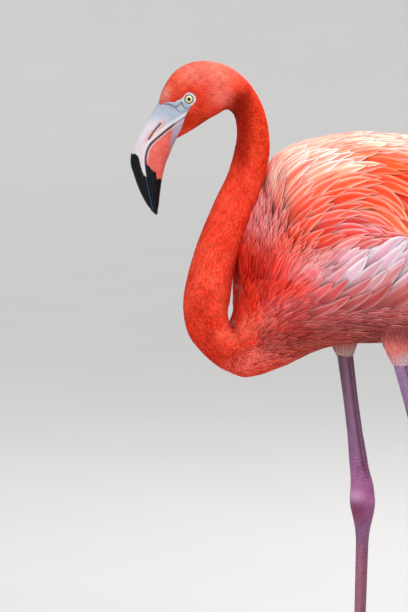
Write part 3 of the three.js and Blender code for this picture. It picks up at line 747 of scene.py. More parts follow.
@dataclass(frozen=True)
class Markings:
    """Colours of the coat, the same for the feathers and for the skin under them."""

    # core and edge
    neck: tuple[Colour, Colour] = ((0.87, 0.031, 0.009), (0.97, 0.140, 0.080))
    breast: tuple[Colour, Colour] = ((0.86, 0.022, 0.006), (0.94, 0.105, 0.065))
    trunk: tuple[Colour, Colour] = ((0.92, 0.090, 0.040), (0.97, 0.380, 0.280))
    washes: tuple[Wash, ...] = (
        # head
        # painted highlight, partly the crown's own paler colour: a lighter crown
        Wash((-40, 765), (50, 20), (0.97, 0.160, 0.100), (1.0, 0.42, 0.32), 0.85, stop=19),
        Wash((-68, 745), (14, 14), (0.97, 0.080, 0.030), (1.0, 0.26, 0.16), 0.7, stop=18),
        # painted shade, partly darker red: darker low on the head below the eye
        Wash((-45, 705), (24, 12), (0.50, 0.018, 0.006), (0.70, 0.06, 0.02), 0.75, stop=18),
        Wash((-78, 733), (8, 12), (0.96, 0.24, 0.17), (1.0, 0.50, 0.42), 0.85, stop=18),
        Wash((-16, 735), (14, 16), (0.93, 0.15, 0.11), (1.0, 0.34, 0.28), 0.6, stop=19),
        # painted shade, partly darker red: darker nape behind the cheek and inside the neck's bend, here and
        # in the next two washes
        Wash((4, 722), (14, 24), (0.20, 0.006, 0.002), (0.34, 0.014, 0.004), 0.9, -30, stop=21),
        Wash((12, 692), (10, 42), (0.30, 0.008, 0.002), (0.46, 0.02, 0.006), 0.85, -8, stop=24),
        Wash((30, 700), (14, 50), (0.74, 0.034, 0.008), (0.88, 0.09, 0.03), 0.7, stop=24),
        # lower neck and breast
        Wash((-24, 500), (40, 60), (0.90, 0.046, 0.018), (0.99, 0.18, 0.11), 0.8, start=24, stop=31),
        # painted shade, partly darker red: darker under the foot of the neck, here and in the next wash
        Wash((-44, 470), (22, 60), (0.56, 0.014, 0.004), (0.72, 0.04, 0.014), 0.7, -8, start=25, stop=30),
        Wash((-20, 444), (40, 14), (0.52, 0.014, 0.005), (0.74, 0.06, 0.03), 0.7, start=26, stop=33),
        Wash((38, 502), (46, 42), (0.97, 0.028, 0.010), (0.99, 0.10, 0.06), 0.9, start=30),
        # painted shade, partly darker red: darker in the crook between the neck and the breast
        Wash((14, 532), (13, 38), (0.46, 0.010, 0.003), (0.72, 0.06, 0.03), 0.85, start=30.5),
        Wash((24, 446), (44, 15), (0.88, 0.050, 0.030), (0.98, 0.34, 0.28), 0.8, 12, start=29),
        Wash((-2, 476), (28, 12), (1.0, 0.085, 0.036), (1.0, 0.30, 0.22), 0.6, -10, start=27),
        # mantle and back
        Wash((20, 584), (18, 34), (0.96, 0.190, 0.180), (1.0, 0.62, 0.66), 0.75, 0, start=31),
        Wash((60, 560), (40, 26), (0.90, 0.055, 0.024), (0.96, 0.27, 0.22), 0.85, 40, start=31),
        # painted highlight, partly the feathers' own pale fringes: near white where the light from above
        # falls on the back
        Wash((32, 640), (40, 42), (0.99, 0.440, 0.310), (1.0, 0.95, 0.90), 0.95, 50, start=31),
        Wash((84, 618), (54, 20), (0.96, 0.078, 0.026), (0.99, 0.36, 0.26), 0.9, 20, start=31),
        # painted highlight, partly the feathers' own pale fringes: near white along the top of the back, here
        # and in the next two washes
        Wash((88, 666), (58, 20), (0.99, 0.460, 0.320), (1.0, 0.95, 0.90), 0.95, 22, start=31),
        Wash((118, 688), (78, 15), (0.97, 0.400, 0.280), (1.0, 0.84, 0.76), 0.9, -1, start=31),
        Wash((250, 684), (90, 18), (0.96, 0.300, 0.200), (1.0, 0.62, 0.52), 0.7, -6, start=31),
        Wash((160, 650), (106, 16), (0.96, 0.062, 0.010), (0.99, 0.22, 0.08), 0.97, -6, start=31),
        Wash((182, 615), (54, 32), (0.94, 0.085, 0.026), (0.98, 0.36, 0.24), 0.9, -40, start=31),
        Wash((98, 584), (40, 15), (0.68, 0.085, 0.080), (0.86, 0.36, 0.42), 0.85, 4, start=31),
        # flank, belly and rump
        Wash((148, 536), (92, 32), (0.90, 0.520, 0.660), (0.97, 0.93, 1.0), 0.97, 6, start=31.5),
        # painted shade, partly the belly's own darker pink: darker low on the flank and under the belly and
        # breast, here and in the next two washes
        Wash((130, 492), (130, 18), (0.46, 0.085, 0.085), (0.66, 0.25, 0.28), 0.85, 4, start=32),
        Wash((130, 464), (150, 23), (0.20, 0.026, 0.024), (0.32, 0.08, 0.080), 0.92, 2, start=31.5),
        Wash((64, 452), (44, 18), (0.40, 0.030, 0.018), (0.60, 0.14, 0.12), 0.7, 10, start=31),
        Wash((300, 500), (120, 60), (0.84, 0.200, 0.150), (0.93, 0.54, 0.52), 0.9, 10, start=31),
        Wash((330, 620), (110, 40), (0.93, 0.110, 0.045), (0.98, 0.44, 0.32), 0.9, -25, start=31),
        Wash((470, 530), (60, 50), (0.90, 0.220, 0.160), (0.97, 0.58, 0.50), 0.9, start=31),
    )

    def __call__(self, place: Place) -> tuple[Array, Array]:
        """Core and edge colours of the coat.

        Args:
            place: Points of the bird's loft.

        Returns:
            Rows of core and of edge colours: neck, breast and trunk colours one after the other along the
                bird, the washes over them, some of which are painted highlight and shade, and soft patches of
                light and dark that turn from coral to red.
        """
        low = smooth(place.t, 27.0, 31.5)[..., None]
        rear = smooth(place.t, 32.5, 36.0)[..., None]
        core, edge = (
            blend(blend(np.array(neck), np.array(breast), low), np.array(trunk), rear)
            for neck, breast, trunk in zip(self.neck, self.breast, self.trunk)
        )
        for wash in self.washes:
            share = wash.share(place)
            core, edge = between(core, wash.core, share), between(edge, wash.edge, share)
        where = place.x, place.point[..., 1], place.z
        patches = 1 + 0.10 * ripple(*where, 14.0, 1.0) + 0.09 * ripple(*where, 4.5, 2.0)
        change = patches[..., None] ** np.array([1.0, 3.0, 3.0])
        return core * change, edge * change


# ---------------- feathers


@dataclass(frozen=True)
class Vane:
    """Shape of one kind of feather."""

    steps: int = 3
    columns: int = 2
    sharp: float = 3.0  # higher keeps the vane wide for longer before its tip
    point: float = 0.7  # higher draws the tip out to a finer point
    sink: float = 1.5  # depth of the root below the coat's surface
    lift: float = 0.2  # height of the tip over it
    camber: float = 0.25  # drop of the edges, in half widths
    tilt: float = 0.10  # rise of one edge over its neighbour, in half widths
    fray: float = 0.10  # unevenness of the edges
    sway: float = 0.05  # sideways bend, in lengths
    ripple: float = 0.15  # unevenness of the height, in half widths

    QUILL = 0.22  # share of the length over which it opens
    ROOT = 0.22  # half widths of its root and tip
    TIP = 0.03

    def half_width(self, u: Array) -> Array:
        """Share of the half width at a share u of the length: it opens fast and closes late."""
        opened = np.clip(u / self.QUILL, 0.0, 1.0) ** 0.5
        vane = opened * np.maximum(1 - u**self.sharp, 0.0) ** self.point
        return self.ROOT * (1 - opened) + vane + self.TIP


Flow = Callable[[Place], Array]  # the way that feathers lie at places
Keep = Callable[[Place], Array]  # True at places that have feathers
Spacing = Callable[[float], float]  # a distance at a ring
Painter = Callable[[Place], tuple[Array, Array]]


def along_rings(place: Place) -> Array:
    """The lie of the head and neck: straight along the loft, towards the tail."""
    return place.ahead


# side view places on the trunk and the degrees that feathers rise there towards the tail
LIE_MARKS = (
    (8, 518, 80), (14, 560, 74), (16, 609, 62), (31, 642, 52), (59, 669, 32), (93, 683, 16), (131, 690, 6),
    (164, 684, -5), (69, 632, 38), (98, 655, 24), (131, 664, 6), (164, 655, -16), (45, 587, 52),
    (69, 605, 36), (98, 623, 16), (126, 632, -5), (155, 619, -46), (166, 598, -60), (88, 591, 10),
    (117, 597, -10), (140, 592, -38), (128, 576, 20), (55, 564, 46), (83, 572, 30), (98, 558, 42),
    (117, 553, 50), (131, 541, 58), (150, 527, 58), (166, 540, 55), (148, 560, 54), (170, 562, 46),
    (98, 522, 50), (69, 527, 45), (35, 550, 56), (21, 527, 62), (8, 495, 62), (21, 486, 46), (45, 508, 42),
    (78, 500, 32), (117, 504, 38), (164, 504, 38), (21, 463, 22), (69, 477, 14), (117, 481, 11),
    (164, 477, 8), (69, 449, 6), (140, 466, 5), (200, 690, -8), (200, 660, -28), (205, 620, -48),
    (205, 588, -48), (202, 560, 20), (200, 532, 42), (205, 505, 24), (205, 470, 4), (240, 680, -10),
    (240, 640, -26), (245, 600, -28), (245, 560, -12), (240, 525, 10), (240, 490, 3), (300, 660, -16),
    (300, 620, -22), (300, 570, -14), (300, 520, 0), (300, 480, 4), (370, 630, -26), (370, 590, -22),
    (370, 540, -8), (370, 495, 6), (440, 580, -28), (440, 540, -10), (440, 505, 6), (480, 530, 0),
)


@dataclass(frozen=True)
class TrunkLie:
    """The lie of the trunk's feathers, combed between marks on the side view."""

    marks: tuple[tuple[float, float, float], ...] = LIE_MARKS
    spread: float = 14.0  # higher makes the turns between marks gentler
    fan_until: tuple[float, float] = (31.8, 33.2)

    def __call__(self, place: Place) -> Array:
        """Directions in space.

        Args:
            place: Points of the loft.

        Returns:
            The loft's own direction where the neck meets the breast. Behind it, the mean of
            the marks' directions weighted by 1 / (distance^2 + spread^2)^2.
        """
        marks = np.array(self.marks)
        near = (place.x[..., None] - marks[:, 0]) ** 2 + (place.z[..., None] - marks[:, 1]) ** 2
        weight = (near + self.spread**2) ** -2
        angle = np.radians(marks[:, 2])
        rise = weight @ np.sin(angle)
        run = weight @ np.cos(angle)
        swept = points_at(run, 0.0, rise)
        share = smooth(place.t, *self.fan_until)[..., None]
        return blend(unit(place.ahead), unit(swept), share)


def vanes(
    points: Array, core: Array, edge: Array, along: Array, chance: Array, chart: Array, flipped: bool = False
) -> Sheet:
    """Feathers as one sheet.

    Args:
        points: Their points as (feather, step along it, place across it, xyz).
        core: The colour of each one's middle.
        edge: The colour of each one's rim.
        along: What is painted on each step, from 0 at a root to 1 at a tip.
        chance: A number from 0 to 1 for each one.
        chart: Each one's place on the bake map.
        flipped: Whether the faces are turned over.

    Returns:
        The sheet, with the paint "core", "edge" and "vane" (along, across, chance).
    """
    count, rows, columns = points.shape[:3]
    each = rows * columns
    u, v = np.linspace(0, 1, rows), np.linspace(-1, 1, columns)
    quads = (lattice(rows, columns, False)[None] + np.arange(count)[:, None, None] * each).reshape(-1, 4)
    vane = np.zeros((count, rows, columns, 3))
    vane[..., 0] = along[None, :, None]
    vane[..., 1] = v
    vane[..., 2] = chance[:, None, None]
    spots = np.zeros((count, rows, columns, 2))
    spots[..., 0] = chart[:, 0, None, None] + v * TUFT_PATCH / 2
    spots[..., 1] = chart[:, 1, None, None] + (u[None, :, None] - 0.5) * TUFT_PATCH
    paint = {"core": np.repeat(core, each, axis=0), "edge": np.repeat(edge, each, axis=0)}
    paint["vane"] = vane.reshape(-1, 3)
    chart = np.clip(spots.reshape(-1, 2), 0, 1)
    return Sheet(points.reshape(-1, 3), quads[:, ::-1] if flipped else quads, paint=paint, chart=chart)


@dataclass
class Coat:
    """Lays feathers over the loft."""

    form: Loft
    paint: Painter
    rng: np.random.Generator = field(default_factory=lambda: np.random.default_rng(SEED))
    stray_across: float = 0.30  # how far roots stray in their row, in spacings
    stray_along: float = 0.35  # how far they stray from it
    size_variety: float = 0.10
    keep_least: float = 0.12  # share of the roots kept where the rings crowd most
    keep_most: float = 1.25  # share kept where they are as far apart as at the side
    fewest: int = 6  # roots in a row
    end_margin: float = 0.006  # share of the loft at its end where shafts run straight on

    def sow(self, span: tuple[float, float], along: Spacing, across: Spacing, keep: Keep) -> Place:
        """Roots in rows across the bird, each row set between the roots of the last.

        Args:
            span: First and last ring.
            along: Distance between rows at a ring.
            across: Distance between roots in a row at a ring.
            keep: True where the tract has feathers.

        Returns:
            The places of the roots, thinned out where the rings crowd at a bend.
        """
        length, end = (float(self.form.length_at(t)) for t in span)
        rows_t: list[Array] = []
        rows_theta: list[Array] = []
        angles = np.linspace(0, 2 * math.pi, GIRTH_MARKS)
        odd = 0
        while length < end:
            t = float(self.form.ring_at(length))
            ring = self.form.at(np.full(GIRTH_MARKS, t), angles)
            girth = np.concatenate([[0.0], np.cumsum(np.linalg.norm(np.diff(ring, axis=0), axis=-1))])
            count = max(self.fewest, int(round(girth[-1] / across(t))))
            stray = self.rng.uniform(-self.stray_across, self.stray_across, count)
            marks = (np.arange(count) + 0.5 * odd + stray) / count
            rows_theta.append(np.interp((marks % 1.0) * girth[-1], girth, angles))
            shift = self.rng.uniform(-self.stray_along, self.stray_along, count) * along(t)
            rows_t.append(self.form.ring_at(length + shift))
            length += along(t)
            odd = 1 - odd
        t, theta = np.concatenate(rows_t), np.concatenate(rows_theta)
        place = self.form.place(t, theta)
        middle = self.form.place(t, np.full_like(t, math.pi / 2))
        crowd = np.linalg.norm(place.ahead, axis=-1) / np.linalg.norm(middle.ahead, axis=-1)
        kept = self.rng.uniform(0, 1, len(t)) < np.clip(crowd * self.keep_most, self.keep_least, 1)
        kept = keep(place) & kept
        return self.form.place(t[kept], theta[kept])

    def lay(
        self,
        place: Place,
        length: Number,
        half: Number,
        vane: Vane,
        flow: Flow,
        raised: Number = 0.0,
        variety: float = 0.10,
    ) -> Sheet:
        """Lays feathers on the loft.

        Each shaft is walked over the surface in equal steps along the flow, with the loft's
        own measure at every step. Across the shaft the vane's points are offset along the
        surface, and up by a height that rises from the sunken root to the lifted tip, drops
        to both edges and is tilted so that one edge lies over the next feather's.

        Args:
            place: Their roots, where they also take their colours from.
            length: Lengths.
            half: Half widths.
            vane: The feather's shape.
            flow: Directions of the coat.
            raised: Height of the whole feathers over the coat's surface.
            variety: How much their colours differ.

        Returns:
            The feathers as one sheet, with the paint "core", "edge" and "vane".
        """
        count, rows, columns = len(place.t), vane.steps + 1, vane.columns + 1
        core, edge = self.paint(place)
        bright = np.exp(self.rng.normal(0, variety, (count, 1)))
        warm = 1 + self.rng.normal(0, variety, (count, 1)) * np.array([0.0, 1.2, 1.2])
        size = np.exp(self.rng.normal(0, self.size_variety, count))
        length, half = length * size, half * size
        u = np.linspace(0, 1, rows)
        step = length / vane.steps
        t, theta = place.t, place.theta
        walk, ahead, up = (np.zeros((count, rows, 3)) for _ in range(3))
        for k in range(rows):
            here = self.form.place(t, theta)
            over = (here.t >= self.form.end - self.form.end * self.end_margin)[:, None]
            lie = flow(here)
            lie = unit(lie - here.normal * dot(lie, here.normal)[:, None])
            if k:
                lie = np.where(over, ahead[:, k - 1], lie)
                here.normal = np.where(over, up[:, k - 1], here.normal)
                here.point = np.where(over, walk[:, k - 1] + ahead[:, k - 1] * step[:, None], here.point)
            walk[:, k], ahead[:, k], up[:, k] = here.point, lie, here.normal
            aa, bb = dot(here.ahead, here.ahead), dot(here.around, here.around)
            ab, la, lb = dot(here.ahead, here.around), dot(lie, here.ahead), dot(lie, here.around)
            det = np.maximum(aa * bb - ab * ab, 1e-9)
            t = t + step * (la * bb - lb * ab) / det
            theta = theta + step * (lb * aa - la * ab) / det
        side = np.cross(up, ahead)
        v = np.linspace(-1, 1, columns)
        chance = self.rng.uniform(0, 1, count)
        uneven = self.rng.uniform(-1, 1, (count, rows, columns))
        width = half[:, None, None] * vane.half_width(u)[None, :, None]
        width = width * (1 + vane.fray * uneven)
        bend = self.rng.normal(0, vane.sway, count)[:, None] * u[None, :] ** 2 * length[:, None]
        raised = np.broadcast_to(np.asarray(raised, float), (count,))[:, None, None]
        high = self.rng.normal(0, vane.ripple, count)[:, None, None] * half[:, None, None]
        w = u[None, :, None]
        height = raised * w**0.5 - vane.sink * (1 - w) ** 1.3 + vane.lift * w + high * w
        height = height - vane.camber * width * v**2 + vane.tilt * width * v
        points = walk[:, :, None] + side[:, :, None] * (width * v + bend[:, :, None])[..., None]
        points = points + up[:, :, None] * height[..., None]
        span = self.form.length_at(place.t)
        low, end = span.min(), span.max() + 1e-6
        chart = np.stack([place.theta / (2 * math.pi) % 1.0, (span - low) / (end - low)], axis=-1)
        chart = chart * CHART_USED + (1 - CHART_USED) / 2
        return vanes(points, core * bright * warm, edge * bright, u, chance, chart)


def even(distance: float) -> Spacing:
    """The same distance at every ring."""
    return lambda _t: distance


def everywhere(place: Place) -> Array:
    """True at all places."""
    return np.ones(len(place.t), bool)


def stepped(*marks: tuple[float, float]) -> Spacing:
    """A distance that changes evenly between (ring, distance) marks."""
    rings, distances = zip(*marks)
    return lambda t: np.interp(t, rings, distances)


# ---------------- bill


BILL_EDGE = (
    (-100, 752), (-82, 725), (-73.6, 725.6), (-68.5, 727), (-64.3, 725.8), (-60.9, 727), (-56.7, 731),
    (-52.0, 732), (-47.0, 727), (-45.5, 722), (-50, 714.9), (-52.5, 709), (-53.4, 704.7), (-57.2, 694.7),
    (-61.5, 686.5), (-72, 655),
)
MOUTH_LINE = (
    (-20, 720), (-44, 714), (-64, 702), (-78.5, 690.5), (-90, 680), (-94.8, 668), (-94.6, 654),
    (-91.5, 636), (-86, 610), (-82.6, 592),
)
BLACK_OF_UPPER = (
    (-114, 670.5), (-106.5, 669.5), (-103.4, 667), (-101.9, 663), (-100.8, 657), (-99.1, 650.5),
    (-96.9, 646.5), (-93, 644), (-84, 640),
)
BLACK_OF_LOWER = (
    (-97, 660.5), (-92.5, 657.7), (-88.5, 652.7), (-83.6, 648.9), (-82.9, 641), (-80.6, 642.9), (-74, 640),
)
NOSTRIL = ((-79.0, 703.0), (-85.5, 695.5), (-92.2, 685.8))
LORES_CREASE = (
    (-75, 724.6), (-70, 724.5), (-66.9, 723.2), (-62.5, 721.2), (-58.4, 723.5), (-55.2, 726),
)
CHEEK_FOLD = ((-62.5, 721), (-59.5, 717.4), (-56, 715.8), (-52, 716.2), (-49, 718))
EYE_FOLD = ((-55.6, 725.5), (-52.8, 721.4), (-49.4, 719.9), (-46, 720.6))


class Mandible(Enum):
    """The two halves of the bill; the value is the sign of the back's side."""

    UPPER = 1
    LOWER = -1


@dataclass(frozen=True)
class Bill:
    """The bent bill: two closed shells that meet at the mouth, with bare skin up to the eye."""

    form: BodyForm
    rows: int = 260
    columns: int = 104
    floor_columns: int = 8  # points across the inside of each half
    gap: float = 0.3  # half the slit between the two halves at the lips
    tuck: float = 2.6  # how far the rear rim turns in under the feathers
    horn_start: float = 8.0  # a ring ahead of the horn's rear edge

    FIRST_GUESS = 12  # ring of the rear edge that the search for it starts from
    ROUNDS = 8

    def rear_edge(self, theta: Array) -> Array:
        """The ring where the horn ends at an angle: the last one inside the horn's outline."""
        corners = np.array([(-72, 560), (-220, 560), (-220, 752)])
        outline = np.vstack([smooth_line(BILL_EDGE), corners])
        t = np.linspace(self.horn_start, HORN_END, 400)
        angles = np.linspace(0, math.pi, 181)
        grid_t, grid_a = np.meshgrid(t, angles)
        points = self.form.at(grid_t, grid_a, turned=False)
        inside = within(points[..., 0], points[..., 2], outline)
        last = np.where(inside.all(axis=1), len(t) - 1, np.argmin(inside, axis=1))
        edge = eased(t[last], np.ones(7) / 7)
        folded = np.arccos(np.clip(np.cos(theta), -1, 1))
        return np.interp(folded, angles, edge)

    def mouth_angle(self, t: Array) -> Array:
        """The angle of the mouth line on a ring: where its section crosses the line."""
        marks = np.linspace(0, HORN_END, 321)
        along = np.linspace(-1, 1, 801)
        row = through(self.form.table, marks)
        middle = (row[:, 0:2] + row[:, 2:4]) / 2
        reach = row[:, 0:2] - middle
        x = middle[:, None, 0] + reach[:, None, 0] * along
        z = middle[:, None, 1] + reach[:, None, 1] * along
        line = smooth_line(MOUTH_LINE)[::-1]
        miss = np.abs(x - np.interp(z, line[:, 1], line[:, 0]))
        best = along[np.argmin(miss, axis=1)]
        angle = np.arccos(np.clip(signed_power(best, self.form.fullness / 2), -1, 1))
        return np.interp(t, marks, eased(angle, np.ones(5) / 5))

    def folds(self, x: Array, z: Array) -> list[Array]:
        """Distances from the nostril, the crease before the eye, and the folds of cheek and eye."""
        lines = (NOSTRIL, LORES_CREASE, CHEEK_FOLD, EYE_FOLD)
        return [line_distance(x, z, smooth_line(line, 6)) for line in lines]

    def relief(self, x: Array, z: Array, half: Mandible) -> Array:
        """Height of the lips' ridges, the nostril's slit and the folds before the eye."""
        lip = line_distance(x, z, smooth_line(MOUTH_LINE))
        if half is Mandible.LOWER:
            return 0.45 * bump(lip, 1.6, 1.1) - 0.3 * bump(lip, 4.0, 1.2)
        slit, crease, fold, under = self.folds(x, z)
        ridges = (  # line, height, distance of the ridge's middle from the line, reach
            (lip, 0.55, 2.2, 1.2),
            (lip, -0.35, 4.8, 1.2),
            (slit, -1.7, 0, 0.95),
            (slit, 0.35, 2.2, 0.9),
            (crease, -0.9, 0, 0.9),
            (crease, 0.5, 2.0, 1.1),
            (fold, -0.6, 0, 0.8),
            (under, -0.8, 0, 0.7),
            (under, 0.6, 2.2, 1.2),
        )
        socket = 2.2 * (1 - smooth(eye_distance(x, z), 5.4, 7.0))
        return sum(height * bump(away, at, reach) for away, height, at, reach in ridges) - socket

    def colour(self, x: Array, y: Array, z: Array, half: Mandible) -> Array:
        """Markings of the horn: grey root, pale and pink middle, black tip with a pale lip, painted shade in
        the nostril's slit and in the creases and folds before the eye, and a painted bluish highlight along
        the lip on the black.
        """
        lip = line_distance(x, z, smooth_line(MOUTH_LINE))
        wave = ripple(x, y, z, 5.0, 3.0)
        fine = ripple(x, y, z, 1.6, 5.0)
        if half is Mandible.UPPER:
            colour = np.full((*x.shape, 3), (0.70, 0.66, 0.72))
            grey = smooth(z + 0.35 * x, 665, 692)
            slit, crease, fold, under = self.folds(x, z)
            pink = bump(slit, 2.5, 2.6) * smooth(wave + fine, -0.5, 0.4)
            warm = bump(lip, 6.5, 3.0) * smooth(-x, 66, 84) * smooth(fine + wave, -0.6, 0.6)
            # painted shade in the crease before the eye and in the folds of cheek and eye
            dark = np.maximum(0.75 * bump(crease, 0, 0.9), 0.55 * bump(fold, 0, 0.7))
            dark = np.maximum(dark, 0.8 * bump(under, 0, 0.7))
            colour = glazed(
                colour,
                ((0.40, 0.47, 0.58), grey * (0.85 + 0.15 * wave)),
                ((0.86, 0.36, 0.32), 0.75 * pink),
                ((0.88, 0.45, 0.42), 0.55 * warm),
                # painted shade: the nostril's slit, then the creases and folds, darkened
                ((0.05, 0.005, 0.007), bump(slit, 0, 1.0)),
                ((0.055, 0.055, 0.075), dark),
                ((0.86, 0.78, 0.80), 0.85 * bump(lip, 2.4, 1.4)),
            )
            edge = np.array(BLACK_OF_UPPER)
        else:
            colour = np.full((*x.shape, 3), (0.74, 0.115, 0.090))
            border = np.interp(z, (640, 667, 676, 685, 697), (-73, -69.5, -68.2, -67.6, -66))
            colour = glazed(
                colour,
                ((0.84, 0.24, 0.19), 0.40 * smooth(fine + wave, -0.2, 0.8)),
                ((0.42, 0.39, 0.50), 0.9 * smooth(x - border, -2.2, 2.8)),
                ((0.88, 0.66, 0.66), 0.7 * bump(lip, 1.9, 1.0) * smooth(z, 655, 668)),
            )
            edge = np.array(BLACK_OF_LOWER)
        notch = 0.9 * fine + 0.5 * ripple(x, y, z, 0.9, 9.0)
        black = smooth(np.interp(x, edge[:, 0], edge[:, 1]) - z + notch, -0.45, 0.45)
        # painted highlight: a bluish line along the lip on the black tip, faint on the lower half
        glint = 0.8 * bump(lip, 1.5, 0.55) if half is Mandible.UPPER else 0.15 * bump(lip, 1.4, 0.5)
        black_and_highlight = between((0.0030, 0.0034, 0.005), (0.05, 0.10, 0.17), glint)
        colour = between(colour, black_and_highlight, black)
        shut = bump(lip, 0, 1.3) * (1 - 0.8 * smooth(x, -67, -60))
        return between(colour, (0.005, 0.006, 0.012), shut)

    def shell(self, half: Mandible) -> Sheet:
        """One half of the bill as a closed shell.

        Args:
            half: Which half.

        Returns:
            Rings from the tip to the rear edge. Each runs over the outside from lip to lip,
            rolls in at the lips, and comes back across the mouth's floor.
        """
        share = np.linspace(0, 1, self.rows) ** 0.92
        across = np.linspace(-1, 1, self.columns)
        share, across = grid(share, across)
        t = share * self.FIRST_GUESS
        for _ in range(self.ROUNDS):
            mouth = self.mouth_angle(t)
            if half is Mandible.UPPER:
                theta = across * mouth
            else:
                theta = math.pi + across * (math.pi - mouth)
            t = share * self.rear_edge(theta)
        plain = self.form.at(t, theta, turned=False)
        x, y, z = plain[..., 0], plain[..., 1], plain[..., 2]
        roll = smooth(np.abs(across), 0.95, 1.0)
        grow = self.relief(x, z, half) * smooth(share, 0.02, 0.08) - 0.55 * roll
        outside = self.form.at(t, theta, grow, turned=False)
        colour = self.colour(x, y, z, half)
        first, last = outside[:, -1], outside[:, 0]
        inner = np.linspace(0, 1, self.floor_columns + 2)[1:-1]
        floor = first[:, None] + (last - first)[:, None] * inner[None, :, None]
        middle = (outside[:, self.columns // 2] - (first + last) / 2)[:, None]
        floor = floor + unit(middle) * (self.gap + 1.2 * np.sin(math.pi * inner))[None, :, None]
        rings = np.concatenate([outside, floor], axis=1)
        # the inside faces are painted near black: painted shade in the slit between the halves
        paint = np.concatenate([colour, np.full((*floor.shape[:2], 3), (0.02, 0.01, 0.012))], axis=1)
        centre = rings[-1:].mean(axis=1, keepdims=True)
        tucks = [rings[-1:] + unit(centre - rings[-1:]) * d for d in (0.9, self.tuck)]
        rings = np.concatenate([rings, *tucks])
        paint = np.concatenate([paint, paint[-1:], paint[-1:]])
        rings = self.form.turn(rings, 0.0)
        sheet = tube(rings)
        ends = np.vstack([paint[0].mean(axis=0), paint[-1].mean(axis=0)])
        sheet.paint = {"core": np.vstack([paint.reshape(-1, 3), ends])}
        return sheet

    def build(self) -> None:
        """Both halves, in horn."""
        finish = HornFinish("bill_horn", roughness=0.36, coat=0.06).make()
        add_piece("bill_upper_horn", self.shell(Mandible.UPPER), finish, Slot.BILL, "bill_upper")
        add_piece("bill_lower_horn", self.shell(Mandible.LOWER), finish, Slot.BILL, "bill_lower")


@dataclass(frozen=True)
class HornFinish:
    """Finish of bill and claws: painted horn with fine growth lines and a soft polish."""

    name: str
    roughness: float = 0.35
    coat: float = 0.18
    relief: float = 0.00025

    def make(self) -> Material:
        """The material. It reads the paint "core"."""
        bench = Bench(self.name)
        here = bench.here()
        fine = bench.noise(bench.stretched(here, (1.0, 1.0, 0.45)), 900.0, 4.0)
        broad = bench.noise(here, 160.0, 2.0)
        tone = 0.86 + fine * 0.16 + broad * 0.12
        colour = bench.shaded(tone)
        height = fine * 0.6 + broad * 0.6
        return bench.finish(
            Base_Color=colour,
            Roughness=self.roughness + fine * 0.12,
            Normal=bench.bump(height, self.relief),
            Specular_IOR_Level=0.12,
            Coat_Weight=self.coat,
            Coat_Roughness=0.25,
        )


# ---------------- eyes


